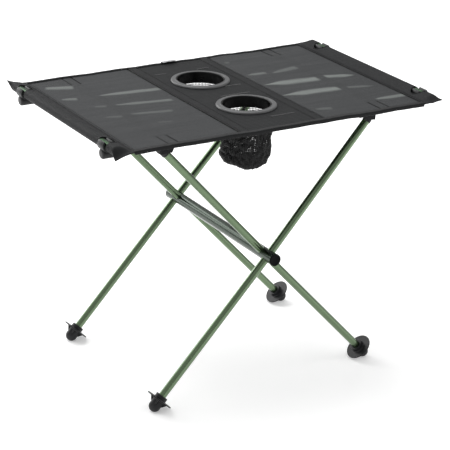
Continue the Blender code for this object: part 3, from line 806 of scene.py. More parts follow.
    def end_cap(self, side_name: str, side: int) -> None:
        """A rubber plug with a slightly dished face."""
        low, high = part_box(f"end_cap_{side_name}")
        face = high.y if side > 0 else low.y
        radius, plug = self.bar_radius, self.bar_radius - self.bar_wall - self.gap
        head, foot, edge, dish = 0.0015, 0.0075, 0.0005, 0.0004
        profile = [(0, -foot), (plug, -foot), (plug, -head), (radius, -head),
                   (radius, -edge), (radius - edge, 0), (radius * 0.75, 0),
                   (radius * 0.68, -dish), (0, -dish)]
        cap = place(lathe(f"end_cap_{side_name}_plug", profile, 56),
                    (0, face, self.hub_z), (0, side, 0))
        mount(cap, Body.OUTER, CAP_RUBBER, f"end_cap_{side_name}")

    def inner_pieces(self) -> None:
        """Finishes for the cores and pins inside the crossbar, which keep their CAD shape."""
        for side_name, _ in SIDES:
            for node, finish in ((f"pivot_pin_{side_name}", GROUND_STEEL),
                                 (f"hub_core_{side_name}", BLACK_NYLON),
                                 (f"bar_core_{side_name}", BLACK_NYLON)):
                finish.dress(frame["nodes"][node])


# ---------------------------------------------------------------- cloth top

@dataclass(frozen=True)
class Glint:
    """A painted highlight: a streak where light glints off the coating, from one point to another
    across the weave.
    """

    start: tuple[float, float]
    end: tuple[float, float]
    half_width: float
    strength: float
    taper: float = 0.15

    def value(self, x: float, y: float) -> float:
        """How strong this painted highlight is at a point of the top."""
        along = Vector((self.end[0] - self.start[0], self.end[1] - self.start[1]))
        offset = Vector((x - self.start[0], y - self.start[1]))
        share = offset.dot(along) / along.length_squared
        if not -0.08 < share < 1.08:
            return 0.0
        lean = 0.25 * noise.noise(Vector((x * 30, y * 90, self.half_width * 1000)))
        across = abs(offset.x * along.y - offset.y * along.x) / along.length
        width = self.half_width * (self.taper + (1 - self.taper) * smooth(share * 2.2 + 0.1))
        ends = smooth((share + 0.04) / 0.08) * smooth((1.04 - share) / 0.08)
        return self.strength * ends * smooth(1.25 * (1.1 - across / width) + lean)


# Painted highlights: streaks of light glinting off the coating's ripples, painted lighter into the
# panels' colour.
GLINTS = (
    Glint((-0.250, 0.152), (-0.208, 0.137), 0.011, 0.75, 0.8),
    Glint((-0.190, 0.078), (-0.083, 0.067), 0.010, 0.75, 0.3),
    Glint((-0.252, 0.085), (-0.229, 0.078), 0.008, 0.60, 0.5),
    Glint((-0.191, 0.021), (-0.093, 0.005), 0.008, 0.60, 0.3),
    Glint((-0.222, 0.027), (-0.204, 0.021), 0.006, 0.30, 0.6),
    Glint((-0.193, -0.033), (-0.119, -0.045), 0.007, 0.38, 0.3),
    Glint((-0.229, -0.030), (-0.205, -0.037), 0.006, 0.26, 0.5),
    Glint((-0.168, -0.087), (-0.146, -0.095), 0.006, 0.15, 0.5),
    Glint((0.089, 0.069), (0.122, 0.068), 0.009, 0.55, 0.2),
    Glint((0.134, 0.060), (0.190, 0.072), 0.011, 0.40, 0.4),
    Glint((0.084, 0.006), (0.184, -0.002), 0.015, 0.95, 0.1),
    Glint((0.250, -0.011), (0.201, 0.003), 0.011, 0.85, 0.2),
    Glint((0.082, -0.057), (0.187, -0.064), 0.014, 0.95, 0.15),
    Glint((0.245, -0.079), (0.202, -0.066), 0.007, 0.35, 0.2),
    Glint((0.209, -0.143), (0.262, -0.145), 0.009, 0.75, 0.5),
    Glint((0.089, -0.146), (0.116, -0.151), 0.008, 0.30, 0.3),
    Glint((0.088, 0.149), (0.097, 0.149), 0.005, 0.35, 0.5),
)


@dataclass
class ClothTop:
    """The sewn top: three panels, their hems, the rod sleeves, stitching and a blank label."""

    level: float = 0.4665
    half_width: float = 0.1988
    centre_seam: float = 0.079
    band_inner: float = 0.062
    sleeve_seam: float = 0.265
    thickness: float = 0.0008
    hem_width: float = 0.0095
    hem_drop: float = 0.0036
    ripple: float = 0.00060
    glint_rise: float = 0.0006
    band_height: float = 0.0007
    rib_pitch: float = 0.0062
    rib_height: float = 0.00012
    edge_wave: float = 0.0011
    pocket_lines: tuple[float, float] = (0.186, 0.2035)
    pocket_reach: float = 0.150
    strap: tuple[float, float] = (0.185, 0.203)
    hole_radius: float = 0.0415
    cup_y: float = field(default_factory=lambda: middle_of("cup_ring_rear").y)
    rod_x: float = field(default_factory=lambda: middle_of("side_rod_right").x)
    rod_z: float = field(default_factory=lambda: middle_of("side_rod_right").z)
    connector_y: float = field(default_factory=lambda: middle_of("connector_right_rear").y)
    sleeve_length: float = 0.400
    skin_width: float = 0.024
    tab_reach: float = 0.2992
    under_drop: float = 0.0023
    wrap_angle: float = math.radians(110)
    arc_steps: int = 26
    flat_steps: int = 16
    sleeve_radius: float = 0.0078
    sleeve_wall: float = 0.0009
    rod_end: float = 0.184
    notch_half: tuple[float, float] = (0.0185, 0.0150)
    notch_centre: float = 0.002

    def groove(self, distance: float, width: float) -> float:
        """Depth share of a seam's groove at a distance from its line."""
        return 1.0 - smooth(abs(distance) / width)

    def edge_shift(self, x: float, side: float) -> tuple[float, float]:
        """How far a long edge is drawn in and lifted at a place along it."""
        along = Vector((x * 17.0, side * 5.0, 1.5))
        drawn = 0.5 * (noise.noise(along) + 0.4 * noise.noise(along * 3.1)) + 0.2
        lifted = noise.noise(along + Vector((7, 3, 2))) + 0.5 * noise.noise(along * 2.7)
        fade = smooth((self.sleeve_seam - abs(x)) / 0.03)
        return drawn * self.edge_wave * fade, lifted * self.edge_wave * fade

    def relief(self, x: float, y: float) -> float:
        """Height of the cloth over its level: ripples along X, seams and bands."""
        far = abs(x)
        coarse = noise.noise(Vector((x * 6.0, y * 42.0, 3.0)))
        fine = noise.noise(Vector((x * 15.0 + y * 6.0, y * 105.0, 9.0)))
        main = far > self.centre_seam
        tame = 1.0 if main else 0.45
        seam_fade = smooth((self.sleeve_seam - far) / 0.02)
        height = (self.ripple * coarse + 0.35 * self.ripple * fine) * tame * seam_fade
        if main:
            height += self.glint_rise * self.shine(x, y)
        height *= smooth(abs(far - self.centre_seam) / 0.006)
        if not main:
            band = smooth((far - self.band_inner) / 0.0015)
            height += self.band_height * band * smooth((self.centre_seam - far) / 0.0015)
            ribs = math.sin(y * math.tau / self.rib_pitch)
            height += self.rib_height * ribs * smooth((self.band_inner - far) / 0.004)
        height -= 0.0009 * self.groove(far - self.centre_seam, 0.0016)
        height -= 0.0006 * self.groove(far - self.sleeve_seam, 0.0016)
        if abs(y) > self.pocket_reach:
            for line in self.pocket_lines:
                height -= 0.0007 * self.groove(far - line, 0.0012)
        share = smooth((abs(y) - 0.15) / 0.05)
        height += share * self.edge_shift(x, math.copysign(1.0, y))[1]
        return height

    def painted_shade(self, co: Vector) -> float:
        """How much painted shade a point gets: in seams and stitched lines, a faint band over the
        strap, and at the long edges.
        """
        far, edge = abs(co.x), abs(co.y)
        value = self.groove(far - self.centre_seam, 0.0030)
        value = max(value, self.groove(far - self.sleeve_seam, 0.0040))
        value = max(value, 0.75 * self.groove(far - self.band_inner, 0.0022))
        if edge > self.pocket_reach - 0.001 and far > self.centre_seam:
            for line in self.pocket_lines:
                value = max(value, self.groove(far - line, 0.0024))
        if far > self.centre_seam and self.strap[0] < far < self.strap[1]:
            value = max(value, 0.10)
        value = max(value, 0.35 * smooth((edge - self.half_width + 0.013) / 0.004))
        return value

    def shine(self, x: float, y: float) -> float:
        """How strong the painted highlights are at a place."""
        return max(glint.value(x, y) for glint in GLINTS)

    def painted_highlight(self, co: Vector) -> float:
        """The painted highlight, left out where the strap runs under the cloth."""
        far = abs(co.x)
        under = smooth((far - self.strap[0]) / 0.003) * smooth((self.strap[1] - far) / 0.003)
        return self.shine(co.x, co.y) * (1.0 - under)

    def build(self) -> None:
        """Make every sewn piece of the top."""
        for name, end in ENDS:
            self.panel(name, end)
        self.centre_panel()
        for name, side in SIDES:
            self.hem(name, side)
        for name, end in ENDS:
            self.sleeve(name, end)
        self.stitching()
        self.label()

    def surface(self, name: str, x_low: float, x_high: float, cell_x: float,
                cell_y: float) -> Piece:
        """A stretch of rippled cloth between two places along X."""
        width = x_high - x_low

        def shape(u: float, v: float) -> Point:
            """A point of the cloth."""
            x = x_low + width * u
            side = math.copysign(1.0, v - 0.5)
            drawn, _ = self.edge_shift(x, side)
            share = smooth((abs(2 * v - 1) - 0.9) / 0.1)
            y = (2 * v - 1) * self.half_width - side * drawn * share
            return x, y, self.level + self.relief(x, y)

        rows = round(2 * self.half_width / cell_y)
        return sheet_mesh(name, round(width / cell_x), rows, shape,
                          (width, 2 * self.half_width))

    def finish_panel(self, piece: Piece, finish: Finish, node: str) -> Piece:
        """Give a panel its painted highlight, painted shade and thickness, and mount it in place of
        its CAD node.
        """
        # Painted highlight streaks.
        paint(piece, "painted_highlight", self.painted_highlight)
        # Painted shade along the seams, stitched lines, strap band and edges.
        paint(piece, "seam", self.painted_shade)
        apply_modifier(piece, "SOLIDIFY", thickness=self.thickness, offset=-1.0)
        mount(piece, Body.TOP, finish, node)
        return piece

    def panel(self, name: str, end: int) -> None:
        """A main panel, between the centre panel and a sleeve."""
        low, high = sorted((end * (self.centre_seam + 0.0001), end * (self.sleeve_seam - 0.0001)))
        piece = self.surface(f"{name}_panel_cloth", low, high, 0.0028, 0.0016)
        self.finish_panel(piece, PANEL_CLOTH, f"{name}_panel")

    def centre_panel(self) -> None:
        """The ribbed centre panel, cut for the two cup holders."""
        edge = self.centre_seam - 0.0001
        piece = self.surface("centre_panel_cloth", -edge, edge, 0.0016, 0.0012)
        finished = self.finish_panel(piece, CENTRE_CLOTH, "centre_panel")
        for _, side in SIDES:
            middle = Vector((0, side * self.cup_y, self.level))
            boolean(finished, rod("cup_cut", middle - UP * 0.01, middle + UP * 0.01,
                                  self.hole_radius, 96), "DIFFERENCE")

    def hem(self, name: str, side: int) -> None:
        """A folded tape over a long edge, following its waves."""
        reach = self.sleeve_seam - 0.0002
        over, wall, fold, steps = 0.0011, 0.0006, 0.0013, 8
        low = -0.0002
        outer = [(self.hem_width, over)]
        for index in range(steps + 1):
            turn = math.pi * index / steps
            drop = self.hem_drop if turn > math.pi / 2 else 0.0
            outer.append((fold - fold * math.sin(turn), low + (over - low) * math.cos(turn) - drop))
        outer.append((self.hem_width * 0.85, low - over))
        inner = [(max(inset, 0.0006) + 0.0004 * (inset < 0.002), height * (1 - wall / over) - 0.0001)
                 for inset, height in reversed(outer)]
        section = outer + inner
        count = len(section)

        def shape(u: float, v: float) -> Point:
            """A point of the tape, u round its section and v along the edge."""
            x = -reach + 2 * reach * v
            inset, height = section[round(u * count) % count]
            drawn, lifted = self.edge_shift(x, side)
            pinch = 0.0002 * noise.noise(Vector((x * 130, side, inset * 300)))
            y = side * (self.half_width + 0.0009 - drawn - inset)
            return x, y, self.level - 0.0003 + lifted + height + pinch

        tape = sheet_mesh(f"hem_{name}_tape", count, 260, shape, (0.03, 2 * reach), wrap=True)
        close_ends(tape)
        # Painted shade in a line along the tape's inner edge, over an evenly darker tone for the
        # whole tape.
        paint(tape, "seam", lambda co: 0.12 + 0.5 * self.groove(
            abs(co.y) - (self.half_width - self.hem_width + 0.002), 0.0009))
        mount(tape, Body.TOP, TAPE, f"hem_{name}")

    def corner_lift(self, end: int, side: float) -> float:
        """How far a corner tab curls up or droops."""
        lifts = {(-1, -1): -0.0085, (-1, 1): 0.0085, (1, -1): 0.0025, (1, 1): 0.0030}
        return lifts[(end, int(side))]

    def sleeve_top(self, x: float) -> float:
        """Height of the sleeve's upper skin at a distance from the middle."""
        tangent_x = self.rod_x + self.sleeve_radius * math.cos(self.wrap_angle)
        tangent_z = self.rod_z + self.sleeve_radius * math.sin(self.wrap_angle)
        if x < tangent_x:
            share = (x - self.sleeve_seam) / (tangent_x - self.sleeve_seam)
            return self.level + (tangent_z - self.level) * smooth(share) ** 0.9
        reach = min(abs(x - self.rod_x), self.sleeve_radius * 0.999)
        return self.rod_z + math.sqrt(self.sleeve_radius ** 2 - reach ** 2)

    def sleeve_section(self, u: float) -> tuple[float, float, float]:
        """Distance along X, height and roundness of a place round a sleeve's section."""
        flat, arc, radius = self.flat_steps, self.arc_steps, self.sleeve_radius
        index = u * (arc + 2 * flat)
        if index <= flat:
            tangent = self.rod_x + radius * math.cos(self.wrap_angle)
            x = self.sleeve_seam + (tangent - self.sleeve_seam) * index / flat
            return x, self.sleeve_top(x), 0.0
        if index <= flat + arc:
            angle = self.wrap_angle - 2 * self.wrap_angle * (index - flat) / arc
            return self.rod_x + radius * math.cos(angle), self.rod_z + radius * math.sin(angle), 1.0
        share = (index - flat - arc) / flat
        start_x = self.rod_x + radius * math.cos(-self.wrap_angle)
        start_z = self.rod_z + radius * math.sin(-self.wrap_angle)
        under = self.level - self.under_drop
        return (start_x + (self.sleeve_seam - start_x) * share,
                start_z + (under - start_z) * smooth(share), 0.0)

    def sleeve_point(self, end: int, u: float, v: float) -> Point:
        """A point of a sleeve's skin, u round the rod and v along it, flat at the corner tabs."""
        y = (2 * v - 1) * self.sleeve_length / 2
        side = math.copysign(1.0, y)
        x, z, roundness = self.sleeve_section(u)
        tab = smooth((abs(y) - self.rod_end) / (self.sleeve_length / 2 - self.rod_end))
        top_side = 1.0 if u < 0.5 else -1.0
        flat_z = self.level - 0.0004 + top_side * 0.00085
        out = (x - self.sleeve_seam) / (self.rod_x + self.sleeve_radius - self.sleeve_seam)
        flat_x = self.sleeve_seam + (self.tab_reach - self.sleeve_seam) * out
        x = x + (flat_x - x) * tab
        z = z + (flat_z - z) * tab
        z += self.corner_lift(end, side) * tab * max(0.0, out) ** 1.6
        pucker = noise.noise(Vector((x * 90 * end, y * 170 + x * 260 * side, 4 + end)))
        amount = 0.00045 * (1 - roundness) * smooth(out * 5) * smooth((1 - out) * 4)
        slack = noise.noise(Vector((u * 5, y * 40, end * 3.0)))
        z += amount * pucker + 0.00025 * slack * tab
        y -= 0.0008 * tab * (0.5 + 0.5 * noise.noise(Vector((x * 160, side, 2))))
        return end * x, y, z

    def sleeve(self, name: str, end: int) -> None:
        """A sleeve round a side rod, with notches for the connectors and flat corner tabs."""
        length = self.sleeve_length
        wrap = 2 * self.skin_width + 2 * self.wrap_angle * self.sleeve_radius
        piece = sheet_mesh(f"{name}_sleeve_cloth", self.arc_steps + 2 * self.flat_steps, 200,
                           lambda u, v: self.sleeve_point(end, u, v), (wrap, length))
        self.face_out(face_outwards(piece), Vector((end * self.rod_x, 0, self.rod_z)))
        # Painted shade: dark lines along the seam to the panel and beside it, and the sleeve's outer
        # half past the rod darker.
        paint(piece, "seam", lambda co: max(
            0.7 * self.groove(abs(co.x) - self.sleeve_seam, 0.0025),
            0.45 * self.groove(abs(co.x) - self.sleeve_seam - 0.004, 0.0010),
            0.28 * smooth((abs(co.x) - self.rod_x - 0.001) / 0.003)))
        apply_modifier(piece, "SOLIDIFY", thickness=self.sleeve_wall, offset=-1.0)
        for _, side in SIDES:
            middle = Vector((end * (self.rod_x + self.notch_centre), side * self.connector_y,
                             self.rod_z))
            cutter = rod("notch", middle - UP * 0.02, middle + UP * 0.02, self.notch_half[0], 96)
            squeeze = self.notch_half[1] / self.notch_half[0]
            for vertex in cutter.data.vertices:
                vertex.co.y = middle.y + (vertex.co.y - middle.y) * squeeze
            boolean(piece, cutter, "DIFFERENCE")
        mount(soften(piece, 50), Body.TOP, SLEEVE_CLOTH, f"{name}_sleeve")
        self.notch_binding(name, end)

    def face_out(self, piece: Piece, axis: Vector) -> None:
        """Turn an open skin's faces away from the line it wraps."""
        away = 0.0
        for polygon in piece.data.polygons:
            offset = polygon.center - axis
            offset.y = 0
            away += offset.dot(polygon.normal)
        if away < 0:
            piece.data.flip_normals()

    def notch_binding(self, name: str, end: int) -> None:
        """Piping round each notch of a sleeve, over its upper and under its lower skin."""
        paths, steps = [], 40
        for _, side in SIDES:
            upper, lower = [], []
            for index in range(steps + 1):
                turn = math.radians(-86 + 172 * index / steps)
                x = self.rod_x + self.notch_centre - self.notch_half[0] * math.cos(turn)
                y = side * self.connector_y + self.notch_half[1] * math.sin(turn)
                top = self.sleeve_top(x)
                bottom = min(2 * self.rod_z - top, self.level - self.under_drop)
                top += (self.level - top) * smooth((abs(y) - self.rod_end) / 0.016)
                upper.append(Vector((end * x, y, top - 0.0004)))
                lower.append(Vector((end * x, y, bottom + 0.0004)))
            paths.append(upper + lower[::-1])
        piping = strand(f"{name}_notch_binding", paths, 0.0011, closed=True, fineness=3)
        mount(piping, Body.TOP, TAPE)

    def dashes(self, name: str, lines: Sequence[tuple[Vector, Vector]], pitch: float,
               radius: float, finish: Finish, lift: float = 0.0002) -> None:
        """Rows of short stitches that follow the cloth.

        Args:
            name: the piece's name.
            lines: the start and end of each row, whose heights come from the cloth.
            pitch: distance from one stitch to the next.
            radius: the thread's radius.
            finish: the thread's finish.
            lift: height of the thread's middle over the cloth.
        """
        paths = []
        for start, end in lines:
            count = int((end - start).length / pitch)
            for index in range(count):
                ends = []
                for share in (index + 0.16, index + 0.5, index + 0.84):
                    point = start.lerp(end, share / count)
                    far = abs(point.x)
                    skin = (self.sleeve_top(far) if far > self.sleeve_seam
                            else self.level + self.relief(point.x, point.y))
                    dip = 0.0002 if share != index + 0.5 else -0.0001
                    ends.append(Vector((point.x, point.y, skin + lift - dip)))
                paths.append(ends)
        mount(strand(name, paths, radius, fineness=1), Body.TOP, finish)

    def stitching(self) -> None:
        """Dark rows along every seam, and light zigzags beside the cup holders."""
        edge = self.half_width - self.hem_width
        rows = []
        for end in (-1, 1):
            for x in (self.band_inner - 0.0012, self.centre_seam - 0.0035,
                      self.sleeve_seam - 0.0028, self.sleeve_seam + 0.0032):
                rows.append((Vector((end * x, -edge, 0)), Vector((end * x, edge, 0))))
        self.dashes("seam_stitches", rows, 0.0034, 0.00028, DARK_THREAD)
        boxes = []
        for end in (-1, 1):
            for side in (-1, 1):
                near, far = side * (self.pocket_reach + 0.001), side * edge
                boxes += [(Vector((end * x, near, 0)), Vector((end * x, far, 0)))
                          for x in self.pocket_lines]
        self.dashes("pocket_stitches", boxes, 0.0030, 0.00034, DARK_THREAD, 0.0006)
        zigzags = ((-0.053, -0.033, 0.139), (0.027, 0.050, 0.138), (0.022, 0.051, 0.0300),
                   (-0.013, 0.042, -0.0155), (0.006, 0.050, -0.1435))
        paths = []
        for x_low, x_high, y in zigzags:
            count = round((x_high - x_low) / 0.0032)
            for index in range(count):
                x = x_low + (x_high - x_low) * (index + 0.5) / count
                swing = 0.0016 if index % 2 else -0.0016
                lean = -swing * 0.5
                paths.append([Vector((x + lean * share, y + swing * share, self.level
                                      + self.relief(x, y) + 0.0003)) for share in (-1, 0, 1)])
        mount(strand("cup_zigzag_stitches", paths, 0.00042, fineness=1), Body.TOP, LIGHT_THREAD)

    def label(self) -> None:
        """A small blank woven label folded over the rear hem."""
        low, width, reach = -0.010, 0.026, 0.011

        def shape(u: float, v: float) -> Point:
            """A point of the label, u along the hem and v out across it."""
            x = low + width * u
            drawn, lifted = self.edge_shift(x, 1)
            y = self.half_width + 0.0012 - drawn - reach * (1 - v)
            arch = 0.0012 * math.sin(math.pi * u) * (1 - v)
            return x, y, self.level + lifted + 0.0030 + arch - 0.0026 * smooth((v - 0.8) / 0.2)

        piece = sheet_mesh("blank_label", 16, 10, shape, (width, reach))
        apply_modifier(piece, "SOLIDIFY", thickness=0.0004, offset=1.0)
        mount(piece, Body.TOP, LABEL_TAPE)


# ---------------------------------------------------------------- rods, connectors, pockets

@dataclass
class RodFrame:
    """Side rods, tension poles, the moulded corners that join them, and the arm pockets."""

    rod_radius: float = 0.0065
    rod_wall: float = 0.0009
    pole_radius: float = 0.006
    clearance: float = 0.0003
    hook_wall: float = 0.0034
    hook_width: float = 0.020
    hook_opening: float = 80.0
    barrel_radius: float = 0.0088
    barrel_length: float = 0.037
    barrel_drop: float = 0.0135
    barrel_out: float = 0.009
    pocket_trim: float = 0.0025
    pocket_ease: float = 0.0030
    pocket_taper: float = 0.10
    pocket_lean: float = 0.0015
    mouth_sweep: float = 0.007
    corner_ease: float = 0.0011
    corner_share: float = 0.16

    def build(self) -> None:
        """Make the rods, the four connectors, the four pockets and the inner pieces."""
        for name, _ in ENDS:
            # The side rods take the green painted darker for the shade in the sleeves.
            mount(tube_along(f"side_rod_{name}", f"side_rod_{name}_tube", 1, self.rod_radius,
                             self.rod_wall), Body.TOP, SHADED_ROD, f"side_rod_{name}")
            for side_name, _ in SIDES:
                node = f"tension_pole_{name}_{side_name}"
                mount(tube_along(node, f"{node}_tube", 0, self.pole_radius, self.rod_wall),
                      Body.TOP, GREEN_POLE, node)
        self.connectors()
        for name, end in ENDS:
            for side_name, side in SIDES:
                self.pocket(f"{name}_{side_name}", end, side)
        for side_name, _ in SIDES:
            PLAIN_ALLOY.dress(frame["nodes"][f"ferrule_{side_name}"])
            ELASTIC.dress(frame["nodes"][f"shock_cord_{side_name}"])

    def connectors(self) -> None:
        """A moulded barrel under a hook, made once with +X outboard and copied to each corner."""
        pattern = self.connector_pattern()
        for name, end in ENDS:
            axis = middle_of(f"side_rod_{name}")
            for side_name, _ in SIDES:
                node = f"connector_{name}_{side_name}"
                where = Vector((axis.x, middle_of(node).y, axis.z))
                turn = Matrix.Scale(end, 4, Vector((1, 0, 0)))
                piece = duplicate(pattern, f"{node}_moulding", Matrix.Translation(where) @ turn)
                mount(piece, Body.TOP, BLACK_NYLON, node)
        discard(pattern)

    def connector_pattern(self) -> Piece:
        """The connector round the rod's axis, with its pole socket and its open hook."""
        radius, length = self.barrel_radius, self.barrel_length
        bore = self.pole_radius + self.clearance
        seat = self.rod_radius + self.clearance
        depth = length - self.barrel_out - seat - self.hook_wall
        rounding = 0.0036
        crown = round_corner((radius - rounding, length - rounding), rounding, 6)
        profile = [(0, depth), (bore, depth), (bore, 0.0005), (bore + 0.0005, 0),
                   (radius - 0.0006, 0), (radius, 0.0006), (radius, 0.004),
                   (radius - 0.0005, 0.0046), (radius - 0.0005, 0.0062), (radius, 0.0068),
                   *crown, (0, length)]
        body = place(lathe("connector_pattern", profile, 56),
                     (self.barrel_out - length, 0, -self.barrel_drop), (1, 0, 0))
        boolean(body, self.hook(seat), "UNION")
        half = self.hook_width
        boolean(body, rod("seat", Vector((0, -half, 0)), Vector((0, half, 0)), seat, 64),
                "DIFFERENCE")
        return soften(body, 28)

    def hook(self, seat: float) -> Piece:
        """A broken ring round the rod, spun from a flat section, with its edges rounded."""
        inner, outer = seat - 0.0006, seat + self.hook_wall
        first = math.radians(90 + self.hook_opening / 2)
        sweep = math.radians(360 - self.hook_opening)
        deselect()
        bpy.ops.mesh.primitive_plane_add(size=1.0)
        ring = bpy.context.active_object
        for vertex in ring.data.vertices:
            across = inner + (outer - inner) * (vertex.co.x + 0.5)
            along = vertex.co.y * self.hook_width
            vertex.co = (across, along, 0)
        settle(ring, Matrix.Rotation(-first, 4, "Y"))
        with editing(ring):
            bpy.ops.mesh.spin(steps=40, angle=sweep, center=(0, 0, 0), axis=(0, 1, 0))
        close_ends(weld(ring))
        return apply_modifier(ring, "BEVEL", width=0.0008, segments=3, limit_method="ANGLE",
                              angle_limit=math.radians(50))

    def pocket(self, label: str, end: int, side: int) -> None:
        """A sewn hood over an arm's tip, hanging from the cross strap round the tension pole."""
        node = f"tip_pocket_{label}"
        low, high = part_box(node)
        tip_low, tip_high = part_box(f"arm_tip_{label}")
        outer_x = max(abs(low.x), abs(high.x))
        inner_x = min(abs(low.x), abs(high.x))
        hood_near = min(abs(tip_low.y), abs(tip_high.y)) - self.pocket_ease
        hood_far = max(abs(tip_low.y), abs(tip_high.y)) + self.pocket_ease
        top, bottom = high.z - 0.0004, low.z + self.pocket_trim

        def shape(u: float, v: float) -> Point:
            """A point of the hood: u round three walls, v down from the strap."""
            turn = u * 3.0
            slim = (hood_far - hood_near) * self.pocket_taper * v
            near, far = hood_near + slim, hood_far - slim
            back = outer_x - 0.0002 - self.pocket_lean * v
            mouth = inner_x + 0.0006 + self.mouth_sweep * v * v
            if turn < 1.0:
                x, y = mouth + (back - mouth) * turn, near
            elif turn < 2.0:
                x, y = back, near + (far - near) * (turn - 1.0)
            else:
                x, y = back - (back - mouth) * (turn - 2.0), far
            corner = min(abs(turn - 1.0), abs(turn - 2.0))
            x -= self.corner_ease * (1 - smooth(corner / self.corner_share))
            lump = 0.0005 * noise.noise(Vector((u * 6, v * 4, end * 2 + side)))
            z = top - (top - bottom) * v + 0.0007 * math.sin(u * 9) * v
            return end * (x + lump), side * (y + lump), z

        hood = sheet_mesh(f"{node}_hood", 42, 12, shape, (0.075, top - bottom))
        apply_modifier(hood, "SOLIDIFY", thickness=0.0012, offset=0.0)
        # Darker towards the hood's lower edge.
        paint(hood, "seam", lambda co: 0.5 * smooth((bottom + 0.003 - co.z) / 0.002))
        mount(soften(hood, 60), Body.TOP, TAPE, node)
        self.strap(label, end * (outer_x + inner_x) / 2, side, high.z)

    def strap(self, label: str, middle_x: float, side: int, top: float) -> None:
        """A pocket's half of the webbing strap that crosses the table under the cloth."""
        reach, width, drop = 0.191, 0.018, 0.0016

        def shape(u: float, v: float) -> Point:
            """A point of the strap, u across it and v from the middle to the hem."""
            sag = 0.0005 * math.sin(math.pi * v)
            edge = 0.0003 * math.sin(v * 40) * (1 if u > 0.5 else -1)
            x = middle_x + (u - 0.5) * width + edge
            return x, side * (0.0002 + (reach - 0.0002) * v), top - drop - sag

        piece = sheet_mesh(f"cross_strap_{label}", 8, 80, shape, (width, reach))
        apply_modifier(piece, "SOLIDIFY", thickness=0.0012, offset=0.0)
        mount(piece, Body.TOP, TAPE)


# ---------------------------------------------------------------- cup holders

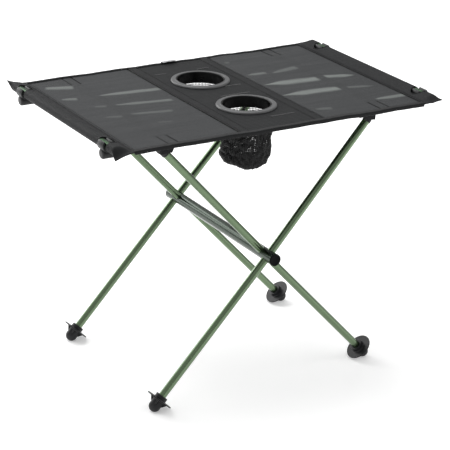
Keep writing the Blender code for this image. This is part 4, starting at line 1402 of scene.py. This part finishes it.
@dataclass
class CupHolders:
    """Two holders: a face ring, a collar, a clamp ring and a bag of netting each."""

    bore: float = 0.03925
    collar_wall: float = 0.0018
    collar_depth: float = 0.0186
    ring_radius: float = 0.050
    ring_height: float = 0.0036
    clamp_radius: float = 0.048
    clamp_height: float = 0.003
    gap: float = 0.0003
    bag_radius: float = 0.0414
    bag_depth: float = 0.094
    bag_floor: float = 0.030
    fold_depth: float = 0.0030
    crease_depth: float = 0.0042
    pucker_depth: float = 0.0009
    slump_depth: float = 0.0022
    floor_wave: float = 0.0055
    floor_lean: float = 0.0035
    columns: int = 104
    wall_rows: int = 40
    floor_rows: int = 9
    strand_open: float = 0.00074
    strand_dense: float = 0.00134

    def build(self) -> None:
        """Make both holders."""
        for name, side in SIDES:
            middle = middle_of(f"cup_ring_{name}")
            ring_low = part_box(f"cup_ring_{name}")[0].z
            self.ring(name, middle, ring_low)
            self.collar(name, middle, ring_low)
            self.clamp(name, middle)
            self.bag(name, middle, side)

    def turned(self, name: str, corners: Sequence[tuple[float, float]], middle: Vector,
               low: float) -> Piece:
        """A ring turned from the corners of its section, with its foot at a height."""
        return place(lathe(name, ring_section(*corners), 96), (middle.x, middle.y, low))

    def ring(self, name: str, middle: Vector, low: float) -> None:
        """The grey face ring, with a rolled outer edge and a fine lip at the bore."""
        inner = self.bore + self.collar_wall + self.gap
        outer, height, roll = self.ring_radius, self.ring_height, 0.0030
        edge = round_corner((outer - roll, height - roll), roll, 7)
        corners = [(inner, 0), (outer - 0.0004, 0), (outer, 0.0003), *edge,
                   (inner + 0.0016, height), (inner + 0.0011, height + 0.0004),
                   (inner + 0.0004, height + 0.0004), (inner, height)]
        mount(self.turned(f"cup_ring_{name}_face", corners, middle, low),
              Body.TOP, RING_GREY, f"cup_ring_{name}")

    def collar(self, name: str, middle: Vector, ring_low: float) -> None:
        """The black sleeve that lines the bore, its edges broken by small chamfers."""
        top = ring_low + self.ring_height - 0.0001
        low = top - self.collar_depth
        inner, outer = self.bore, self.bore + self.collar_wall
        height = top - low
        corners = [(inner, 0.0004), (inner + 0.0004, 0), (outer - 0.0004, 0), (outer, 0.0004),
                   (outer, height - 0.0004), (outer - 0.0004, height),
                   (inner + 0.0005, height), (inner, height - 0.0005)]
        mount(self.turned(f"cup_collar_{name}_sleeve", corners, middle, low),
              Body.TOP, COLLAR_BLACK, f"cup_collar_{name}")

    def clamp(self, name: str, middle: Vector) -> None:
        """The flat ring under the cloth, with a stepped edge."""
        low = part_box(f"cup_clamp_{name}")[0].z
        inner = self.bore + self.collar_wall + self.gap
        outer, height = self.clamp_radius, self.clamp_height
        corners = [(inner, 0.0003), (inner + 0.0003, 0), (outer - 0.004, 0),
                   (outer - 0.0036, 0.0005), (outer - 0.0004, 0.0005), (outer, 0.0009),
                   (outer, height - 0.0003), (outer - 0.0003, height), (inner, height)]
        mount(self.turned(f"cup_clamp_{name}_ring", corners, middle, low),
              Body.TOP, BLACK_NYLON, f"cup_clamp_{name}")

    def bag(self, name: str, middle: Vector, side: int) -> None:
        """A crumpled bag of real netting, open near its rim and gathered dense below."""
        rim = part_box(f"mesh_bag_{name}")[1].z
        floor = rim - self.bag_depth
        turn = self.bag_radius - self.bag_floor
        wall = self.bag_depth - turn
        arc = turn * math.pi / 2
        total = wall + arc + self.bag_floor

        def section(reach: float) -> tuple[float, float]:
            """Radius and height at a distance down the bag from its rim."""
            if reach < wall:
                return self.bag_radius, rim - reach
            if reach < wall + arc:
                angle = (reach - wall) / turn
                return (self.bag_floor + turn * math.cos(angle),
                        floor + turn * (1 - math.sin(angle)))
            return max(self.bag_floor - (reach - wall - arc), 0.0), floor

        def shape(u: float, v: float) -> Point:
            """A point of the netting, u round the bag and v down it."""
            around = u * math.tau
            radius, z = section(total * v)
            down = smooth((v - 0.03) / 0.2)
            seed = 4.0 * side
            probe = Vector((math.cos(around) * 1.5, math.sin(around) * 1.5, v * 3.0 + seed))
            fold = noise.noise(probe * 1.6)
            crease = 1 - abs(noise.noise(probe * 3.4))
            fine = noise.noise(probe * 8.0)
            slump = self.slump_depth * noise.noise(Vector((around, v * 2, seed + 1)))
            radius += down * (self.fold_depth * fold - self.crease_depth * crease ** 3
                              + self.pucker_depth * fine + 0.0006)
            radius = max(radius, 0.0)
            wave = self.floor_wave * noise.noise(
                Vector((math.cos(around), math.sin(around), seed + 9)))
            low_part = smooth((v - 0.45) / 0.3)
            z += low_part * (wave + 0.0016 * fine + 0.0028) + down * slump
            lean = math.cos(around) * 0.87 - math.sin(around) * 0.50
            z -= self.floor_lean * low_part * lean
            radius *= 1 - 0.09 * low_part * smooth(lean)
            return (middle.x + radius * math.cos(around), middle.y + radius * math.sin(around), z)

        rows = self.wall_rows + self.floor_rows
        piece = sheet_mesh(f"mesh_bag_{name}_netting", self.columns, rows, shape,
                           (math.tau * self.bag_radius, total), wrap=True)
        weld(piece, 2e-5)
        dense = piece.vertex_groups.new(name="dense")
        share = self.strand_open / self.strand_dense
        for vertex in piece.data.vertices:
            depth = (rim - vertex.co.z) / self.bag_depth
            weight = share + (1 - share) * smooth((depth - 0.23) / 0.08)
            dense.add([vertex.index], weight, "REPLACE")
        band = self.rim_band(name, rim)
        apply_modifier(piece, "WIREFRAME", thickness=2 * self.strand_dense,
                       vertex_group="dense", use_replace=True, use_even_offset=False,
                       use_boundary=True)
        mount(piece, Body.TOP, NETTING, f"mesh_bag_{name}")
        mount(band, Body.TOP, TAPE)

    def rim_band(self, name: str, rim: float) -> Piece:
        """The tape that binds the bag's mouth."""
        middle = middle_of(f"mesh_bag_{name}")
        radius, height = self.bag_radius + 0.0002, 0.006
        corners = [(radius, 0), (radius + 0.0006, 0.0003), (radius + 0.0006, height - 0.0003),
                   (radius, height), (radius - 0.0004, height - 0.0002), (radius - 0.0004, 0.0002)]
        return self.turned(f"mesh_bag_{name}_rim", corners, middle, rim - height)


# ---------------------------------------------------------------- studio

LAMPS = (
    ("key", (-0.3, 1.2, 3.2), 3.0, 92.0),
    ("fill", (2.4, -1.6, 1.8), 2.0, 18.0),
    ("back", (-0.9, 2.9, 1.3), 1.9, 34.0),
    ("side", (-3.0, -0.9, 0.8), 1.2, 10.0),
)


@dataclass
class Studio:
    """Pale floor, soft light and the camera."""

    lens: float = 153.494
    sensor: float = 36.0
    target: tuple[float, float, float] = (0.008336, 0.0, 0.23127)
    azimuth: float = -30.13
    elevation: float = 21.18
    roll: float = 0.99
    distance: float = 3.25509

    def build(self) -> None:
        """Make the floor, the lights and the camera."""
        bpy.context.scene.view_settings.view_transform = "Standard"
        self.camera()
        self.floor()
        self.sky()
        for lamp in LAMPS:
            self.lamp(*lamp)

    def camera(self) -> None:
        """A long lens from the front left, a little above, turned slightly about its axis."""
        a, e, r = (math.radians(x) for x in (self.azimuth, self.elevation, self.roll))
        back = Vector((math.sin(a) * math.cos(e), -math.cos(a) * math.cos(e), math.sin(e)))
        level = Vector((math.cos(a), math.sin(a), 0.0))
        upright = back.cross(level)
        right = level * math.cos(r) + upright * math.sin(r)
        up = upright * math.cos(r) - level * math.sin(r)
        data = bpy.data.cameras.new("table_camera")
        data.lens, data.sensor_width = self.lens, self.sensor
        camera = bpy.data.objects.new("table_camera", data)
        bpy.context.scene.collection.objects.link(camera)
        basis = Matrix((right, up, back)).transposed().to_4x4()
        place_at = Vector(self.target) + back * self.distance
        camera.matrix_world = Matrix.Translation(place_at) @ basis
        bpy.context.scene.camera = camera

    def floor(self) -> None:
        """A wide pale sweep under the table."""
        deselect()
        bpy.ops.mesh.primitive_plane_add(size=40.0, location=(0, 0, 0))
        plane = bpy.context.active_object
        plane.name = "studio_floor"
        material = bpy.data.materials.new("studio_pale")
        material.use_nodes = True
        Graph(material.node_tree).feed(material.node_tree.nodes["Principled BSDF"], {
            "Base Color": (0.93, 0.93, 0.93, 1.0), "Roughness": 0.9, "Specular IOR Level": 0.0,
            "Emission Color": (1.0, 1.0, 1.0, 1.0), "Emission Strength": 0.30})
        plane.data.materials.append(material)

    def sky(self) -> None:
        """An even white surround."""
        world = bpy.data.worlds.new("studio_world")
        bpy.context.scene.world = world
        world.use_nodes = True
        Graph(world.node_tree).feed(world.node_tree.nodes["Background"], {
            "Color": (1.0, 1.0, 1.0, 1.0), "Strength": 0.52})

    def lamp(self, name: str, where: tuple[float, float, float], size: float,
             power: float) -> None:
        """A square soft box aimed at the table."""
        data = bpy.data.lights.new(f"{name}_light", "AREA")
        data.size, data.energy = size, power
        light = bpy.data.objects.new(f"{name}_light", data)
        bpy.context.scene.collection.objects.link(light)
        light.location = where
        aim = Vector((0, 0, 0.3)) - light.location
        light.rotation_euler = aim.to_track_quat("-Z", "Y").to_euler()


def write_sizes() -> None:
    """Bring the scene up to date once every piece is built."""
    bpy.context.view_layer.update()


def main() -> None:
    """Build the studio and every sub-assembly in order."""
    logging.basicConfig(level=logging.INFO, format="%(message)s")
    deselect()
    Studio().build()
    for part in (LegFrame(), RodFrame(), ClothTop(), CupHolders()):
        LOG.info("building %s", type(part).__name__)
        part.build()
    write_sizes()


if __name__ == "__main__":
    main()
